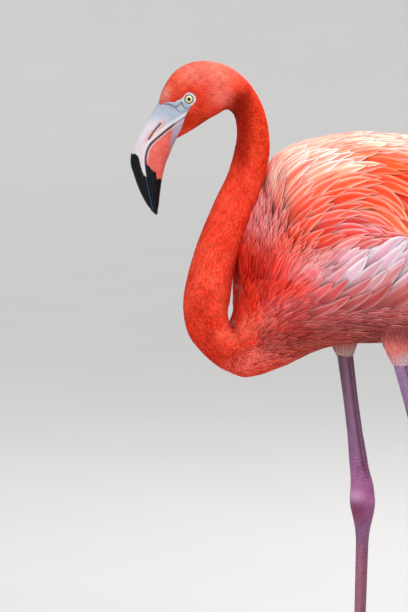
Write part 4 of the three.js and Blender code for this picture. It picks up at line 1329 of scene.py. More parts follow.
@dataclass(frozen=True)
class Eye:
    """An eyeball with a bulging cornea, set in a bare wrinkled ring of skin."""

    form: BodyForm
    radius: float = 6.5
    pupil: float = 1.95
    iris: float = 3.85
    cornea: float = 0.5  # how far the cornea stands out over the ball
    ring_inner: float = 4.1
    ring_dark: float = 5.1
    ring_outer: float = 9.0
    bare: float = 6.9  # feathers start this far from the eye's middle

    def ball(self, side: Side) -> Sheet:
        """The eyeball: circles about its axis, pushed out over the iris."""
        turn = np.linspace(0.012, math.pi - 0.012, 56)
        turn, spin = grid(turn, circle(72))
        out = self.radius + self.cornea * (1 - smooth(turn, 0.0, 0.72))
        points = points_at(
            EYE_PLACE[0] + out * np.sin(turn) * np.cos(spin),
            side.value * (EYE_PLACE[1] + out * np.cos(turn)),
            EYE_PLACE[2] - side.value * out * np.sin(turn) * np.sin(spin),
        )
        away = np.where(turn < math.pi / 2, self.radius * np.sin(turn), self.radius * 2)
        fibre = 0.5 + 0.5 * np.sin(spin * 23 + 2 * np.sin(spin * 7) + away * 1.5)
        iris = between((0.74, 0.66, 0.22), (0.93, 0.88, 0.50), fibre)
        iris = between(iris, (0.40, 0.30, 0.06), 0.8 * bump(away, self.iris, 0.4))
        black = np.maximum(1 - smooth(away, self.pupil - 0.15, self.pupil + 0.15), smooth(away, 3.9, 4.4))
        colour = between(iris, (0.003, 0.003, 0.004), black)
        sheet = tube(self.form.turn(points, 0.0))
        ends = np.vstack([colour[0, 0], colour[-1, 0]])
        sheet.paint = {"core": np.vstack([colour.reshape(-1, 3), ends])}
        return sheet

    def lid(self, side: Side) -> tuple[Array, Array]:
        """The bare ring as rings of points and their colours, before the head's turn.

        Returns:
            Circles from the lid's rim on the ball to an edge sunk under the feathers. The
            height runs from the ball's to the head's, with a rounded rim and fine folds.
        """
        away = np.concatenate([[self.ring_inner - 0.5], np.linspace(self.ring_inner, self.ring_outer, 34)])
        away, spin = grid(away, circle(96))
        x = EYE_PLACE[0] + away * np.cos(spin)
        z = EYE_PLACE[2] - side.value * away * np.sin(spin)
        over_ball = EYE_PLACE[1] + np.sqrt(np.maximum(self.radius**2 - away**2, 0.0))
        over_head = self.head_half(x, z)
        y = blend(over_ball + 0.15, over_head - 0.1, smooth(away, self.ring_inner, 8.4))
        pucker = np.sin(spin * 31 + 3 * np.sin(spin * 4)) * bump(away, 6.2, 0.7)
        y = y + 0.55 * bump(away, 6.1, 0.7) - 0.25 * bump(away, 5.2, 0.3) + 0.05 * pucker
        y[0] -= 0.8
        y = y - 2.2 * smooth(away, 6.9, self.ring_outer)
        points = points_at(x, side.value * y, z)
        pale = np.full((*away.shape, 3), (0.80, 0.76, 0.80))
        # painted shade in the fold at the ring's edge and in its puckers
        fold = 0.5 * bump(away, 7.3, 0.4) + 0.15 * smooth(pucker, 0.1, 0.9)
        colour = between(pale, (0.24, 0.20, 0.26), fold)
        dark = 1 - smooth(away, self.ring_dark - 0.1, self.ring_dark + 0.55)
        colour = between(colour, (0.045, 0.040, 0.045), 0.92 * dark)
        return points, colour

    def head_half(self, x: Array, z: Array) -> Array:
        """Half width of the head at places in the side view, from the nearest point of the loft."""
        t, theta = grid(np.linspace(10.5, 16.5, 150), np.linspace(0.25, 2.7, 150))
        cloud = self.form.at(t, theta, turned=False).reshape(-1, 3)
        miss = (x.reshape(-1, 1) - cloud[None, :, 0]) ** 2 + (z.reshape(-1, 1) - cloud[None, :, 2]) ** 2
        return cloud[np.argmin(miss, axis=1), 1].reshape(x.shape)

    def build(self, side: Side) -> None:
        """The eyeball as a glossy piece."""
        bench = Bench(f"eye_{side.word}_gloss")
        vein = bench.noise(bench.here(), 2500.0, 3.0)
        colour = bench.shaded(0.9 + vein * 0.2)
        finish = bench.finish(
            Base_Color=colour,
            Roughness=0.06,
            Specular_IOR_Level=0.10,
            Coat_Weight=0.5,
            Coat_Roughness=0.02,
        )
        node = f"eye_{side.word}"
        add_piece(f"{node}_ball", self.ball(side), finish, Slot.EYE, node)


# ---------------- legs and feet


@dataclass(frozen=True)
class Leg:
    """One leg: a straight shank, a knobbed ankle, a thin tarsus and a webbed foot."""

    side: Side
    hip: Point3
    cuff: Point3
    ankle: Point3
    foot: Point3

    # half depth and half width at heights above the ankle
    ABOVE = (215, 190, 165, 120, 80, 40, 18, 4, -5, -17, -30, -46, -140, -225)
    DEPTH = (9, 8.6, 9, 8.3, 8.7, 11, 13.2, 13.6, 13.6, 12, 8.8, 7.2, 6.5, 6.8)
    WIDTH = (7.2, 6.8, 7, 6.7, 6.7, 8, 9.8, 10.8, 11, 10, 7.8, 6.3, 5.7, 6)
    HUB = ((20, 0, 6.8, 6.0), (13, 0, 8.2, 7.8), (7, 1, 9.4, 9.2), (2, 2, 9.4, 9), (0, 2, 8.4, 8))
    TOES = (("inner", -30, 62), ("middle", 2, 79), ("outer", 33, 71))
    HIND = (172, 15, 9)  # angle, length, height
    TOE_ROOT = 6.0
    TOE_TIP = 3.6
    VOXEL = 1.2
    CLAW_LENGTH = 9.5
    HIP_HEIGHT = 520.0  # the leg's top, inside the body
    SCALE = 0.22  # height of a scale
    HOOP = 5.2  # distances between scales down the tarsus and along a toe
    TOE_SCALE = 3.4

    def middle(self, z: Array) -> Array:
        """Middle of the leg at heights: straight from cuff to ankle and from ankle to foot."""
        heights = [self.foot[2], self.ankle[2], self.cuff[2], self.HIP_HEIGHT]
        over = (self.HIP_HEIGHT - self.ankle[2]) / (self.cuff[2] - self.ankle[2])
        columns = [
            [self.foot[k], self.ankle[k], self.cuff[k], self.ankle[k] + (self.cuff[k] - self.ankle[k]) * over]
            for k in (0, 1)
        ]
        return np.stack([np.interp(z, heights, c) for c in columns] + [np.asarray(z, float)], axis=-1)

    def shaft(self) -> Sheet:
        """The leg from inside the body to the instep, rounded at the bend of the ankle."""
        z = np.arange(self.ankle[2] + 214, 12.0, -1.6)
        above = z - self.ankle[2]
        order = np.argsort(self.ABOVE)
        depth = np.interp(above, np.array(self.ABOVE)[order], np.array(self.DEPTH)[order])
        width = np.interp(above, np.array(self.ABOVE)[order], np.array(self.WIDTH)[order])
        kernel = np.hanning(13) / np.hanning(13).sum()
        depth, width = eased(depth, kernel), eased(width, kernel)
        angle = circle(56)
        centre = self.middle(z)
        tendon = 1 + 0.07 * bump(angle, 0.0, 0.5) + 0.07 * bump(angle, 2 * math.pi, 0.5)
        hollow = 1 - 0.10 * (bump(angle, 1.10, 0.28) + bump(angle, 2 * math.pi - 1.10, 0.28))
        shank = smooth(above, 34, 60)[:, None]
        section = 1 + (tendon * hollow - 1)[None, :] * shank
        bulges = (  # height, middle above the ankle, reach, function of the angle, its value, reach
            (0.05, 2, 9, np.sin, 1.0, 0.5),
            (0.05, 2, 9, np.sin, -1.0, 0.5),
            (0.15, 0, 11, np.cos, -1.0, 0.8),
            (-0.06, 26, 11, np.cos, -1.0, 0.8),
            (0.08, 20, 13, np.cos, 1.0, 0.8),
        )
        knob = sum(
            size * bump(above, at, reach)[:, None] * bump(facing(angle), value, turn)[None, :]
            for size, at, reach, facing, value, turn in bulges
        )
        creased = bump(above, 36, 14) * 0.022 + bump(above, -26, 9) * 0.018
        wrinkle = np.sin(above * 1.9 + 1.2 * np.sin(above * 0.31)) * creased
        section = section + wrinkle[:, None] + knob
        x = centre[:, None, 0] + depth[:, None] * np.cos(angle) * section
        y = centre[:, None, 1] + width[:, None] * np.sin(angle) * section
        return tube(points_at(x, y, z[:, None]))

    def ring_stack(self, table: Sequence[tuple[float, float, float, float]]) -> Sheet:
        """Level ellipses under each other, of (height, how far forwards, half depth, half width)."""
        rows = through(np.array(table, float), np.linspace(0, len(table) - 1, 24))
        angle = circle(48)
        x = self.foot[0] - rows[:, 1, None] + rows[:, 2, None] * np.cos(angle)
        y = self.foot[1] + rows[:, 3, None] * np.sin(angle)
        return tube(points_at(x, y, rows[:, 0, None]))

    def heading(self, degrees: float) -> tuple[Array, Array]:
        """Unit vectors along and across a toe at an angle outwards from straight ahead."""
        a = math.radians(degrees) * self.side.value
        return np.array([-math.cos(a), math.sin(a), 0.0]), np.array([math.sin(a), math.cos(a), 0.0])

    def toe(self, degrees: float, length: float, lift: float = 0.0) -> Sheet:
        """A toe: a tapering bar, fuller at its joints, rounded at its end and sunk a little."""
        ahead, aside = self.heading(degrees)
        share = np.concatenate([np.linspace(0, 0.94, 40), 0.94 + 0.06 * np.sin(np.linspace(0.1, 1.5, 9))])
        radius = blend(self.TOE_ROOT, self.TOE_TIP, share)
        joints = bump(share, 0.36, 0.06) + bump(share, 0.66, 0.055) + 0.8 * bump(share, 0.9, 0.04)
        radius = radius * (1 + 0.10 * joints - 0.05)
        radius = radius * np.sqrt(np.maximum(1 - np.clip((share - 0.94) / 0.0605, 0, 1) ** 2, 0.02))
        upright = radius * 0.8
        centre = np.array(self.foot) + ahead * (share * length)[:, None]
        centre[:, 2] += upright * 0.75 + lift
        return bar(centre, aside, radius, upright, 36)

    def web(self, first: tuple[str, float, float], second: tuple[str, float, float]) -> Sheet:
        """The skin between two toes: a thin sheet whose front edge is drawn back in a curve."""
        a = self.heading(first[1])[0] * first[2] * 0.9
        b = self.heading(second[1])[0] * second[2] * 0.9
        if self.side is Side.RIGHT:
            a, b = b, a
        notch = (a + b) * 0.41
        s = np.linspace(0, 1, 40)[:, None]
        front = a * (1 - s) ** 2 + 2 * notch * s * (1 - s) + b * s**2
        reach = np.linspace(0.03, 1, 40)[:, None, None]
        flat = np.array(self.foot) + front[None] * reach
        fold = 0.35 * np.sin(math.pi * s[None, :, 0]) * np.sin(reach[..., 0] * 16)
        top, bottom = flat.copy(), flat.copy()
        top[..., 2] = 2.3 + fold + 0.8 * (1 - np.sin(math.pi * s[None, :, 0]))
        bottom[..., 2] = 0.75 + fold
        return tube(np.concatenate([top, bottom[:, ::-1]], axis=1))

    def fused(self) -> Sheet:
        """Leg and foot run into one skin: rebuilt in small cubes, smoothed and cut off flat."""
        toes = [self.toe(angle, length) for _name, angle, length in self.TOES]
        webs = [self.web(a, b) for a, b in zip(self.TOES[:-1], self.TOES[1:])]
        hind = self.toe(*self.HIND)
        parts = [self.shaft(), self.ring_stack(self.HUB), *toes, hind, *webs]
        rough = mesh_object("leg_in_making", joined(parts))
        cubes = rough.modifiers.new("cubes", "REMESH")
        cubes.mode = "VOXEL"
        cubes.voxel_size = self.VOXEL * MM
        ease = rough.modifiers.new("ease", "SMOOTH")
        ease.factor = 0.5
        ease.iterations = 3
        graph = bpy.context.evaluated_depsgraph_get()
        evaluated = rough.evaluated_get(graph)
        made = evaluated.to_mesh()
        points = read(made.vertices, "co", 3)
        loops = read(made.loops, "vertex_index", kind=int)
        sizes = read(made.polygons, "loop_total", kind=int)
        starts = read(made.polygons, "loop_start", kind=int)
        normals = read(made.vertices, "normal", 3)
        quads = loops[starts[sizes == 4][:, None] + np.arange(4)]
        tris = loops[starts[sizes == 3][:, None] + np.arange(3)].reshape(-1, 3)
        points = points.reshape(-1, 3) / MM - np.array([SHIFT, 0, 0])
        evaluated.to_mesh_clear()
        old = rough.data
        bpy.data.objects.remove(rough)
        bpy.data.meshes.remove(old)
        relief = self.scutes(points) - 0.9 * self.groove(points) - 0.45 * self.wrinkles(points)
        points = points + normals.reshape(-1, 3) * relief[:, None]
        points[:, 2] = np.maximum(points[:, 2], 0.0)
        return Sheet(points, quads, tris)

    def groove(self, points: Array) -> Array:
        """Share of the furrow down both rear sides of the shank, 1 in its middle."""
        off = points - self.middle(points[:, 2])
        turn = np.abs(np.arctan2(off[:, 1], off[:, 0]))
        above = points[:, 2] - self.ankle[2]
        line = bump(turn, 1.10, 0.11) + 0.45 * bump(turn, 0.72, 0.07)
        return line * smooth(above, 22, 45) * (1 - smooth(above, 160, 190))

    def wrinkles(self, points: Array) -> Array:
        """Share of the creases round the leg above and below the ankle, 1 in their middles."""
        above = points[:, 2] - self.ankle[2]
        off = points - self.middle(points[:, 2])
        bend = 1.4 * np.sin(2 * np.arctan2(off[:, 1], off[:, 0]) + above * 0.13)
        crease = np.maximum(np.sin(above * 1.55 + bend), 0.0) ** 4
        return crease * (bump(above, 40, 18) + 0.7 * bump(above, -24, 9))

    def scutes(self, points: Array) -> Array:
        """Height of the scales: hoops down the front of the tarsus and over the toes."""
        x = points[:, 0] - self.foot[0]
        y = points[:, 1] - self.foot[1]
        z = points[:, 2]
        out = np.hypot(x, y)
        on_foot = smooth(-z, -22, -14)
        hoop = np.abs(np.sin(z * math.pi / self.HOOP))
        ring = np.abs(np.sin(out * math.pi / self.TOE_SCALE))
        front = smooth(-(points[:, 0] - self.middle(z)[:, 0]), -1.0, 3.0)
        tarsus = smooth(-z, -(self.ankle[2] - 40), -(self.ankle[2] - 60)) * (1 - on_foot) * front
        return self.SCALE * hoop**0.5 * tarsus + 0.2 * ring**0.5 * on_foot * smooth(z, 1.0, 3.0)

    def paint(self, sheet: Sheet) -> None:
        """Colours of the leg: mauve, wine-coloured at the ankle, greyer soles and scale seams, with painted
        shade on the far leg's upper part, in the furrow and creases and under the ankle's knob, and painted
        highlights on the knob and along the shank.
        """
        p = sheet.points
        above = p[:, 2] - self.ankle[2]
        # the far (right) leg's upper part is painted darker: painted shade
        upper = (0.25, 0.14, 0.29) if self.side is Side.LEFT else (0.105, 0.042, 0.072)
        colour = np.full((len(p), 3), (0.20, 0.078, 0.18))
        colour = glazed(
            colour,
            (upper, smooth(above, 70, 160)),
            ((0.43, 0.125, 0.33), 0.85 * bump(above, 14, 32)),
            ((0.26, 0.045, 0.16), 0.7 * bump(above, -12, 11)),
            ((0.37, 0.11, 0.19), 0.85 * smooth(-above, 25, 70)),
            ((0.50, 0.17, 0.24), 0.8 * smooth(-p[:, 2], -24, -8)),
        )
        patches, fine = (ripple(*p.T, size, seed)[:, None] for size, seed in ((9.0, 4.0), (2.6, 6.0)))
        colour = colour * (1 + 0.16 * patches + 0.16 * fine)
        off = p - self.middle(p[:, 2])
        turn = np.arctan2(off[:, 1], off[:, 0])
        shank = smooth(above, 30, 55)
        # painted highlights: a pale line beside the furrow and a lighter band on the shank's other side
        shank_highlight = shank * (0.55 * bump(np.abs(turn), 0.88, 0.09) + 0.40 * bump(np.abs(turn), 1.9, 0.35))
        front = smooth(np.abs(turn), 1.3, 2.3)
        # painted shade: the furrow and the creases
        creases = np.clip(self.groove(p) + 0.7 * self.wrinkles(p), 0, 0.92)
        colour = glazed(
            colour,
            # painted highlights beside the furrow and on the shank
            ((0.44, 0.24, 0.40), 0.8 * shank_highlight),
            # painted shadow under the ankle's knob, then a painted highlight on the knob
            ((0.17, 0.010, 0.060), 0.85 * bump(above, -10, 11) * front),
            ((0.66, 0.36, 0.56), 0.6 * bump(above, 8, 6) * front),
            # painted shade in the furrow and creases
            ((0.13, 0.010, 0.050), creases),
        )
        seam = self.scutes(p) / self.SCALE
        on = smooth(-above, 30, 60)
        colour = colour * (1 - 0.35 * (on * (1 - seam) * smooth(seam, -0.1, 0.02)))[:, None]
        sheet.paint = plain_paint(colour)
        out = np.hypot(p[:, 0] - self.foot[0], p[:, 1] - self.foot[1])
        run = np.where(p[:, 2] > 20, p[:, 2] / self.HIP_HEIGHT, 0.04 - out / 2400)
        across = 0.25 if self.side is Side.LEFT else 0.75
        around = across + turn / (2 * math.pi) * LEG_CHART
        sheet.chart = np.stack([around, np.clip(run, 0, 1) * LEG_CHART], axis=-1)

    def claws(self) -> list[tuple[str, Sheet]]:
        """The four claws: curved cones with a blunt tip, set on the ends of the toes."""
        made = []
        for name, degrees, length, lift in (*[(*toe, 0.0) for toe in self.TOES], ("hind", *self.HIND)):
            ahead, aside = self.heading(degrees)
            share = np.linspace(0, 1, 26)
            radius = blend(3.0, 0.55, share**1.15)
            radius = radius * np.sqrt(np.maximum(1 - smooth(share, 0.9, 1.02) ** 2 * 0.8, 0.05))
            reach = length - 0.6 + self.CLAW_LENGTH * share
            extra = lift + (1.0 if name == "hind" else 0.0)
            height = extra + radius * 0.95 + blend(0.9, 0.1, share) + 0.5 * np.sin(math.pi * share)
            centre = np.array(self.foot) + ahead * reach[:, None]
            centre[:, 2] = height
            sheet = bar(centre, aside, radius * 0.82, radius, 28)
            fade = np.concatenate([np.repeat(share, 28), share[[0, -1]]])
            core = between((0.16, 0.10, 0.11), (0.018, 0.014, 0.016), smooth(fade, 0.0, 0.6))
            sheet.paint = {"core": core}
            made.append((name, sheet))
        return made


LEGS = (
    Leg(Side.LEFT, (176, -40, 500), (181, -42, 438), (226, -44, 276), (236, -47, 0)),
    Leg(Side.RIGHT, (138, 40, 500), (144, 43, 441), (167.5, 45, 272), (161, 47, 0)),
)


# ---------------- skin


@dataclass(frozen=True)
class SkinFinish:
    """Finish of the skin: painted, finely pebbled, with a faint oily gloss."""

    name: str
    roughness: float = 0.5
    relief: float = 0.0005

    def make(self) -> Material:
        """The material. It reads the paint "core"."""
        bench = Bench(self.name)
        here = bench.here()
        pebble = bench.node("ShaderNodeTexVoronoi", None, {"Vector": here, "Scale": 520.0})
        fine = bench.noise(here, 700.0, 3.0)
        broad = bench.noise(here, 90.0, 2.0)
        tone = 0.80 + broad * 0.30 + pebble * 0.16
        colour = bench.shaded(tone)
        height = 1.0 - pebble + fine * 0.5
        return bench.finish(
            Base_Color=colour,
            Roughness=self.roughness + fine * 0.15,
            Normal=bench.bump(height, self.relief),
            Coat_Weight=0.12,
            Coat_Roughness=0.35,
        )


@dataclass(frozen=True)
class Skin:
    """One skin for the head, neck, trunk, wings' flesh and legs, inside the coat."""

    form: BodyForm
    bill: Bill
    eye: Eye
    markings: Markings
    columns: int = 96
    head_rows: int = 70
    neck_rows: int = 60
    trunk_rows: int = 40
    # ring and depth of the coat there
    DEPTHS = ((10.0, 1.0), (17.0, 1.2), (20.0, 2.0), (28.0, 2.2), (31.0, 4.0), (34.0, 7.0), (43.0, 7.0))

    def depth(self, t: Array) -> Array:
        """Depth of the coat at a ring."""
        rings, depths = zip(*self.DEPTHS)
        return np.interp(t, rings, depths)

    def trunk(self) -> Sheet:
        """Head, neck and trunk: rings from under the horn's edge to the rump."""
        theta = circle(self.columns)
        start = self.bill.rear_edge(theta) - 0.12
        share = np.linspace(0, 1, self.head_rows)[:, None]
        head = blend(start[None, :], float(NECK_START), share)
        neck = np.linspace(NECK_START, TRUNK_START, self.neck_rows + 1)[1:]
        rest = np.concatenate([neck, np.linspace(TRUNK_START, RUMP_END, self.trunk_rows + 1)[1:]])
        t = np.vstack([head, np.repeat(rest[:, None], self.columns, axis=1)])
        angle = np.broadcast_to(theta, t.shape)
        plain = self.form.at(t, angle, turned=False)
        socket = 1 - smooth(eye_distance(plain[..., 0], plain[..., 2]), 4.5, 8.5)
        socket = socket * smooth(np.abs(plain[..., 1]), 4, 9)
        grow = -self.depth(t) - 4.5 * socket
        grow[0] -= 1.5
        place = self.form.place(t, angle, grow)
        rings = self.form.at(t, angle, grow)
        core, edge = self.markings(place)
        sheet = tube(rings)
        both = np.concatenate([blend(core, edge, 0.25).reshape(-1, 3), core[0, :1], core[-1, :1]])
        sheet.paint = plain_paint(both * 0.8)
        span = self.form.length_at(t) / self.form.length_at(RUMP_END)
        span = TRUNK_CHART[0] + TRUNK_CHART[1] * span
        chart = np.stack([angle / (2 * math.pi), span], axis=-1).reshape(-1, 2)
        sheet.chart = np.vstack([chart, chart[0], chart[-1]])
        return sheet

    def lid(self, side: Side) -> Sheet:
        """The bare ring round an eye."""
        points, colour = self.eye.lid(side)
        sheet = tube(self.form.turn(points, 0.0), capped=False)
        sheet.paint = plain_paint(colour.reshape(-1, 3))
        spot = (0.04, 0.15) if side is Side.LEFT else (0.14, 0.15)  # on the bake map
        around = (points[..., (0, 2)] - np.array([EYE_PLACE[0], EYE_PLACE[2]])) / 400
        sheet.chart = (around + np.array(spot)).reshape(-1, 2)
        return sheet

    def build(self) -> None:
        """The skin as one piece that stands for all the flesh."""
        legs = []
        for leg in LEGS:
            sheet = leg.fused()
            leg.paint(sheet)
            legs.append(sheet)
        parts = [self.trunk(), *(self.lid(side) for side in Side), *legs]
        nodes = ["head", "neck_upper", "neck_middle", "neck_lower", "trunk"]
        for side in Side:
            nodes += [f"{part}_{side.word}" for part in ("thigh", "shank", "tarsus", "foot")]
        finish = SkinFinish("bird_skin").make()
        add_piece("skin", joined(parts), finish, Slot.LEG, *nodes)


def build_claws() -> None:
    """All eight claws, each standing for its node."""
    finish = HornFinish("claw_horn", roughness=0.4, coat=0.2).make()
    for leg in LEGS:
        for name, sheet in leg.claws():
            node = f"claw_{leg.side.word}_{name}"
            add_piece(f"{node}_horn", sheet, finish, Slot.CLAW, node)


# ---------------- plumage


@dataclass(frozen=True)
class Limb(Loft):
    """A straight tapering surface, such as the cuff of feathers at the top of a leg."""

    leg: Leg
    top: Point2 = (28.0, 19.0)  # half depth and half width
    bottom: Point2 = (10.5, 8.8)
    end: float = 5.0
    lengths: Array = field(init=False)

    def __post_init__(self) -> None:
        """Measures the length."""
        object.__setattr__(self, "lengths", self.measured(200))

    def at(self, t: Array, theta: Array, grow: Number = 0.0, turned: bool = True) -> Array:
        """Level ellipses from the hip to the cuff that narrow as 1 - share^1.6."""
        t, theta = np.broadcast_arrays(np.asarray(t, float), np.asarray(theta, float))
        share = t / self.end
        taper = 1 - np.clip(share, 0, 1) ** 1.6
        centre = np.array(self.leg.hip) + (np.array(self.leg.cuff) - self.leg.hip) * share[..., None]
        depth = blend(self.bottom[0], self.top[0], taper) + grow
        width = blend(self.bottom[1], self.top[1], taper) + grow
        offset = points_at(depth * np.cos(theta), width * np.sin(theta), 0.0)
        return centre + offset


@dataclass(frozen=True)
class CuffPaint:
    """Colours of a cuff: cream, with an orange-red front on the near leg, darker on the far leg and at the
    top under the belly's feathers as painted shade.
    """

    leg: Leg

    def __call__(self, place: Place) -> tuple[Array, Array]:
        """Core and edge colours, redder above and in front, with painted shade on the far leg and at the top.
        """
        near = self.leg.side is Side.LEFT
        # the far leg's colours are darker copies: painted shade
        cream = (0.62, 0.38, 0.44) if near else (0.46, 0.31, 0.27)
        rim = (0.78, 0.60, 0.68) if near else (0.66, 0.50, 0.48)
        red = np.array((0.76, 0.13, 0.09) if near else (0.52, 0.10, 0.09))
        high = smooth(place.z, 448, 466)
        front = smooth(-np.cos(place.theta), -0.2, 0.7) * (0.5 if near else 0.2)
        share = np.clip(high + front, 0, 1)
        # painted shade at the top, under the belly's feathers
        belly_shade = smooth(place.z, 462, 480)
        core = between(between(cream, red, share), (0.30, 0.045, 0.042), belly_shade)
        return core, between(between(rim, red * 1.1, share * 0.5), (0.46, 0.14, 0.14), belly_shade)


@dataclass(frozen=True)
class Plumage:
    """All the feathers, tract by tract."""

    form: BodyForm
    bill: Bill
    eye: Eye
    markings: Markings
    down: VaneFinish = VaneFinish(
        "down_feathers", barbs=10.0, slant=0.3, streak=0.20, fringe=(0.3, 1.3),
        shade=0.30, relief=0.0002, roughness=0.7, gloss=0.02,
    )
    body: VaneFinish = VaneFinish(
        "contour_feathers", barbs=18.0, slant=0.5, streak=0.35, fringe=(0.35, 1.20),
        shade=0.22, relief=0.0003, roughness=0.75, gloss=0.02,
    )
    wing: VaneFinish = VaneFinish(
        "wing_feathers", barbs=30.0, slant=0.5, streak=0.40, fringe=(0.32, 1.18),
        shade=0.50, relief=0.0003, roughness=0.65, gloss=0.04,
    )

    def coat(self, seed: int) -> Coat:
        """A coat over the body with its own chance."""
        return Coat(self.form, self.markings, np.random.default_rng(SEED + seed))

    def head(self) -> None:
        """The head: the smallest feathers, kept off the horn and the bare ring of the eye."""
        coat = self.coat(1)

        def keep(place: Place) -> Array:
            """Off the horn and the ring of the eye."""
            horn = place.t > self.bill.rear_edge(place.theta) + 0.02
            return horn & (eye_distance(place.x, place.z) > self.eye.bare)

        place = coat.sow((9.3, 17.5), even(1.45), even(1.0), keep)
        away = eye_distance(place.x, place.z)
        grown = smooth(place.t - self.bill.rear_edge(place.theta), 0.0, 2.5)
        length = blend(3.2, 5.8, grown)
        before = (place.x < EYE_PLACE[0] + 2) & (away < 14)
        length = np.where(before, np.minimum(length, (away - self.eye.bare) * 0.9 + 1.3), length)
        vane = Vane(sharp=2.4, sink=0.9, lift=0.08, camber=0.2, tilt=0.04, fray=0.15, sway=0.10, ripple=0.08)
        sheet = coat.lay(place, length, blend(0.55, 0.82, grown), vane, along_rings)
        add_piece("head_feathers", sheet, self.down.make(), Slot.NECK, "head")

    def neck(self) -> None:
        """The neck in three lengths, its feathers growing towards the breast."""
        finish = self.down.make()
        vane = Vane(sharp=2.4, sink=0.9, lift=0.08, camber=0.2, tilt=0.05, fray=0.15, sway=0.12, ripple=0.08)
        spans = {"neck_upper": (17.2, 22.2), "neck_middle": (22.2, 25.6), "neck_lower": (25.6, 31.0)}
        for k, (node, span) in enumerate(spans.items()):
            coat = self.coat(2 + k)
            along = stepped((17, 1.9), (24, 2.2), (31, 2.7))
            across = stepped((17, 1.25), (24, 1.55), (31, 1.95))
            place = coat.sow(span, along, across, everywhere)
            crowd = np.clip(np.linalg.norm(place.ahead, axis=-1) / 36, 0.35, 1)
            length = np.interp(place.t, (17, 24, 31), (6.5, 8.5, 12.0)) * crowd
            half = np.interp(place.t, (17, 24, 31), (0.95, 1.3, 1.75))
            nape = smooth(np.cos(place.theta), 0.2, 0.9) * smooth(place.t, 23.0, 23.8)
            puffed = 3.0 * nape * (1 - smooth(place.t, 25.2, 26.0))
            sheet = coat.lay(place, length, half, vane, along_rings, puffed, 0.13)
            add_piece(f"{node}_feathers", sheet, finish, Slot.NECK, node)

    def breast(self) -> None:
        """Breast and shoulder front, fanning out from the foot of the neck."""
        coat = self.coat(6)
        place = coat.sow(
            (30.4, 36.2),
            stepped((30, 3.0), (33, 6.0), (36, 8.0)),
            stepped((30, 2.0), (33, 3.3), (36, 4.2)),
            lambda p: (p.t < 33.5) | (p.z < 560 - 12 * (p.t - 33.5)),
        )
        crowd = np.clip(np.linalg.norm(place.ahead, axis=-1) / 30, 0.4, 1)
        length = np.interp(place.t, (30, 32, 36), (13, 29, 44)) * crowd
        half = np.interp(place.t, (30, 32, 36), (1.8, 3.0, 4.3))
        puffed = 8.0 * smooth(place.z, 516, 546) * (1 - smooth(place.t, 33.0, 35.0))
        vane = Vane(5, 2, 2.2, sink=1.5, lift=0.2, camber=0.12, tilt=0.04, fray=0.12, sway=0.06, ripple=0.05)
        sheet = coat.lay(place, length, half, vane, TrunkLie(), 0.3 + puffed, 0.17)
        add_piece("breast_feathers", sheet, self.body.make(), Slot.BODY, "trunk")

    def belly(self) -> None:
        """Flat soft feathers of the belly and of the underside up to the tail."""
        coat = self.coat(7)
        place = coat.sow((34.8, 42.7), even(6.5), even(3.9), lambda p: p.z < 524)
        vane = Vane(5, 2, 2.4, sink=2.8, lift=0.25, camber=0.14, tilt=0.05, fray=0.12, sway=0.07, ripple=0.06)
        sheet = coat.lay(place, 34.0, 3.7, vane, TrunkLie(), variety=0.13)
        add_piece("belly_feathers", sheet, self.body.make(), Slot.BODY, "trunk")

    def back(self) -> None:
        """The narrow strip along the spine, between the wings."""
        coat = self.coat(8)
        place = coat.sow((33.6, 42.7), even(17.0), even(7.0), lambda p: np.cos(p.theta) > 0.80)
        vane = Vane(10, 4, 1.9, sink=4.0, lift=0.8, camber=0.2, tilt=0.08, fray=0.05, sway=0.03, ripple=0.05)
        sheet = coat.lay(place, 62.0, 7.0, vane, TrunkLie(), 0.8)
        add_piece("back_feathers", sheet, self.wing.make(), Slot.BODY, "trunk")

    def wing_side(self, side: Side) -> None:
        """Shoulder, scapular and covert feathers of one folded wing, and the flank over it."""
        coat = self.coat(9 + side.value)
        lie = TrunkLie()

        def over_wing(place: Place) -> Array:
            """This side of the spine and above the flank."""
            low_edge = 512 + 26 * bump(place.x, 40, 50)
            return (np.sin(place.theta) * side.value > 0.05) & (place.z > low_edge)

        place = coat.sow((33.0, 42.6), stepped((33, 13.0), (36, 21.0), (43, 22.0)), even(6.6), over_wing)
        high = smooth(place.z, 560, 640)
        front = smooth(place.t, 33, 35.5)
        length = blend(46.0, 72.0, high) * blend(0.62, 1.0, front)
        half = blend(6.4, 8.2, high) * blend(0.62, 1.0, front)
        vane = Vane(
            10, 6, sharp=2.3, point=0.72, sink=2.6, lift=0.5,
            camber=0.08, tilt=0.045, fray=0.04, sway=0.03, ripple=0.03,
        )
        scapulars = coat.lay(place, length, half, vane, lie, 0.6, 0.14)

        def on_flank(place: Place) -> Array:
            """In a band along the wing's lower edge."""
            line = 505 + 0.06 * (place.x - 90)
            on = (place.x > 62) & (place.x < 250) & (place.z > line - 10) & (place.z < line + 30)
            return on & (np.sin(place.theta) * side.value > 0.2)

        place = coat.sow((34.0, 41.0), even(16.0), even(13.0), on_flank)
        fore = smooth(place.x, 58, 120)
        length, half = blend(40.0, 64.0, fore), blend(6.8, 9.5, fore)
        broad = Vane(
            10, 6, sharp=2.5, point=0.75, sink=1.6, lift=1.2,
            camber=0.10, tilt=0.07, fray=0.03, sway=0.03, ripple=0.04,
        )
        flank = coat.lay(place, length, half, broad, lie, 3.4, 0.07)
        sheets = [scapulars, flank, self.tertials(side, coat.rng), self.primaries(side, coat.rng)]
        node = f"wing_{side.word}"
        add_piece(f"{node}_feathers", joined(sheets), self.wing.make(), Slot.WING, node)

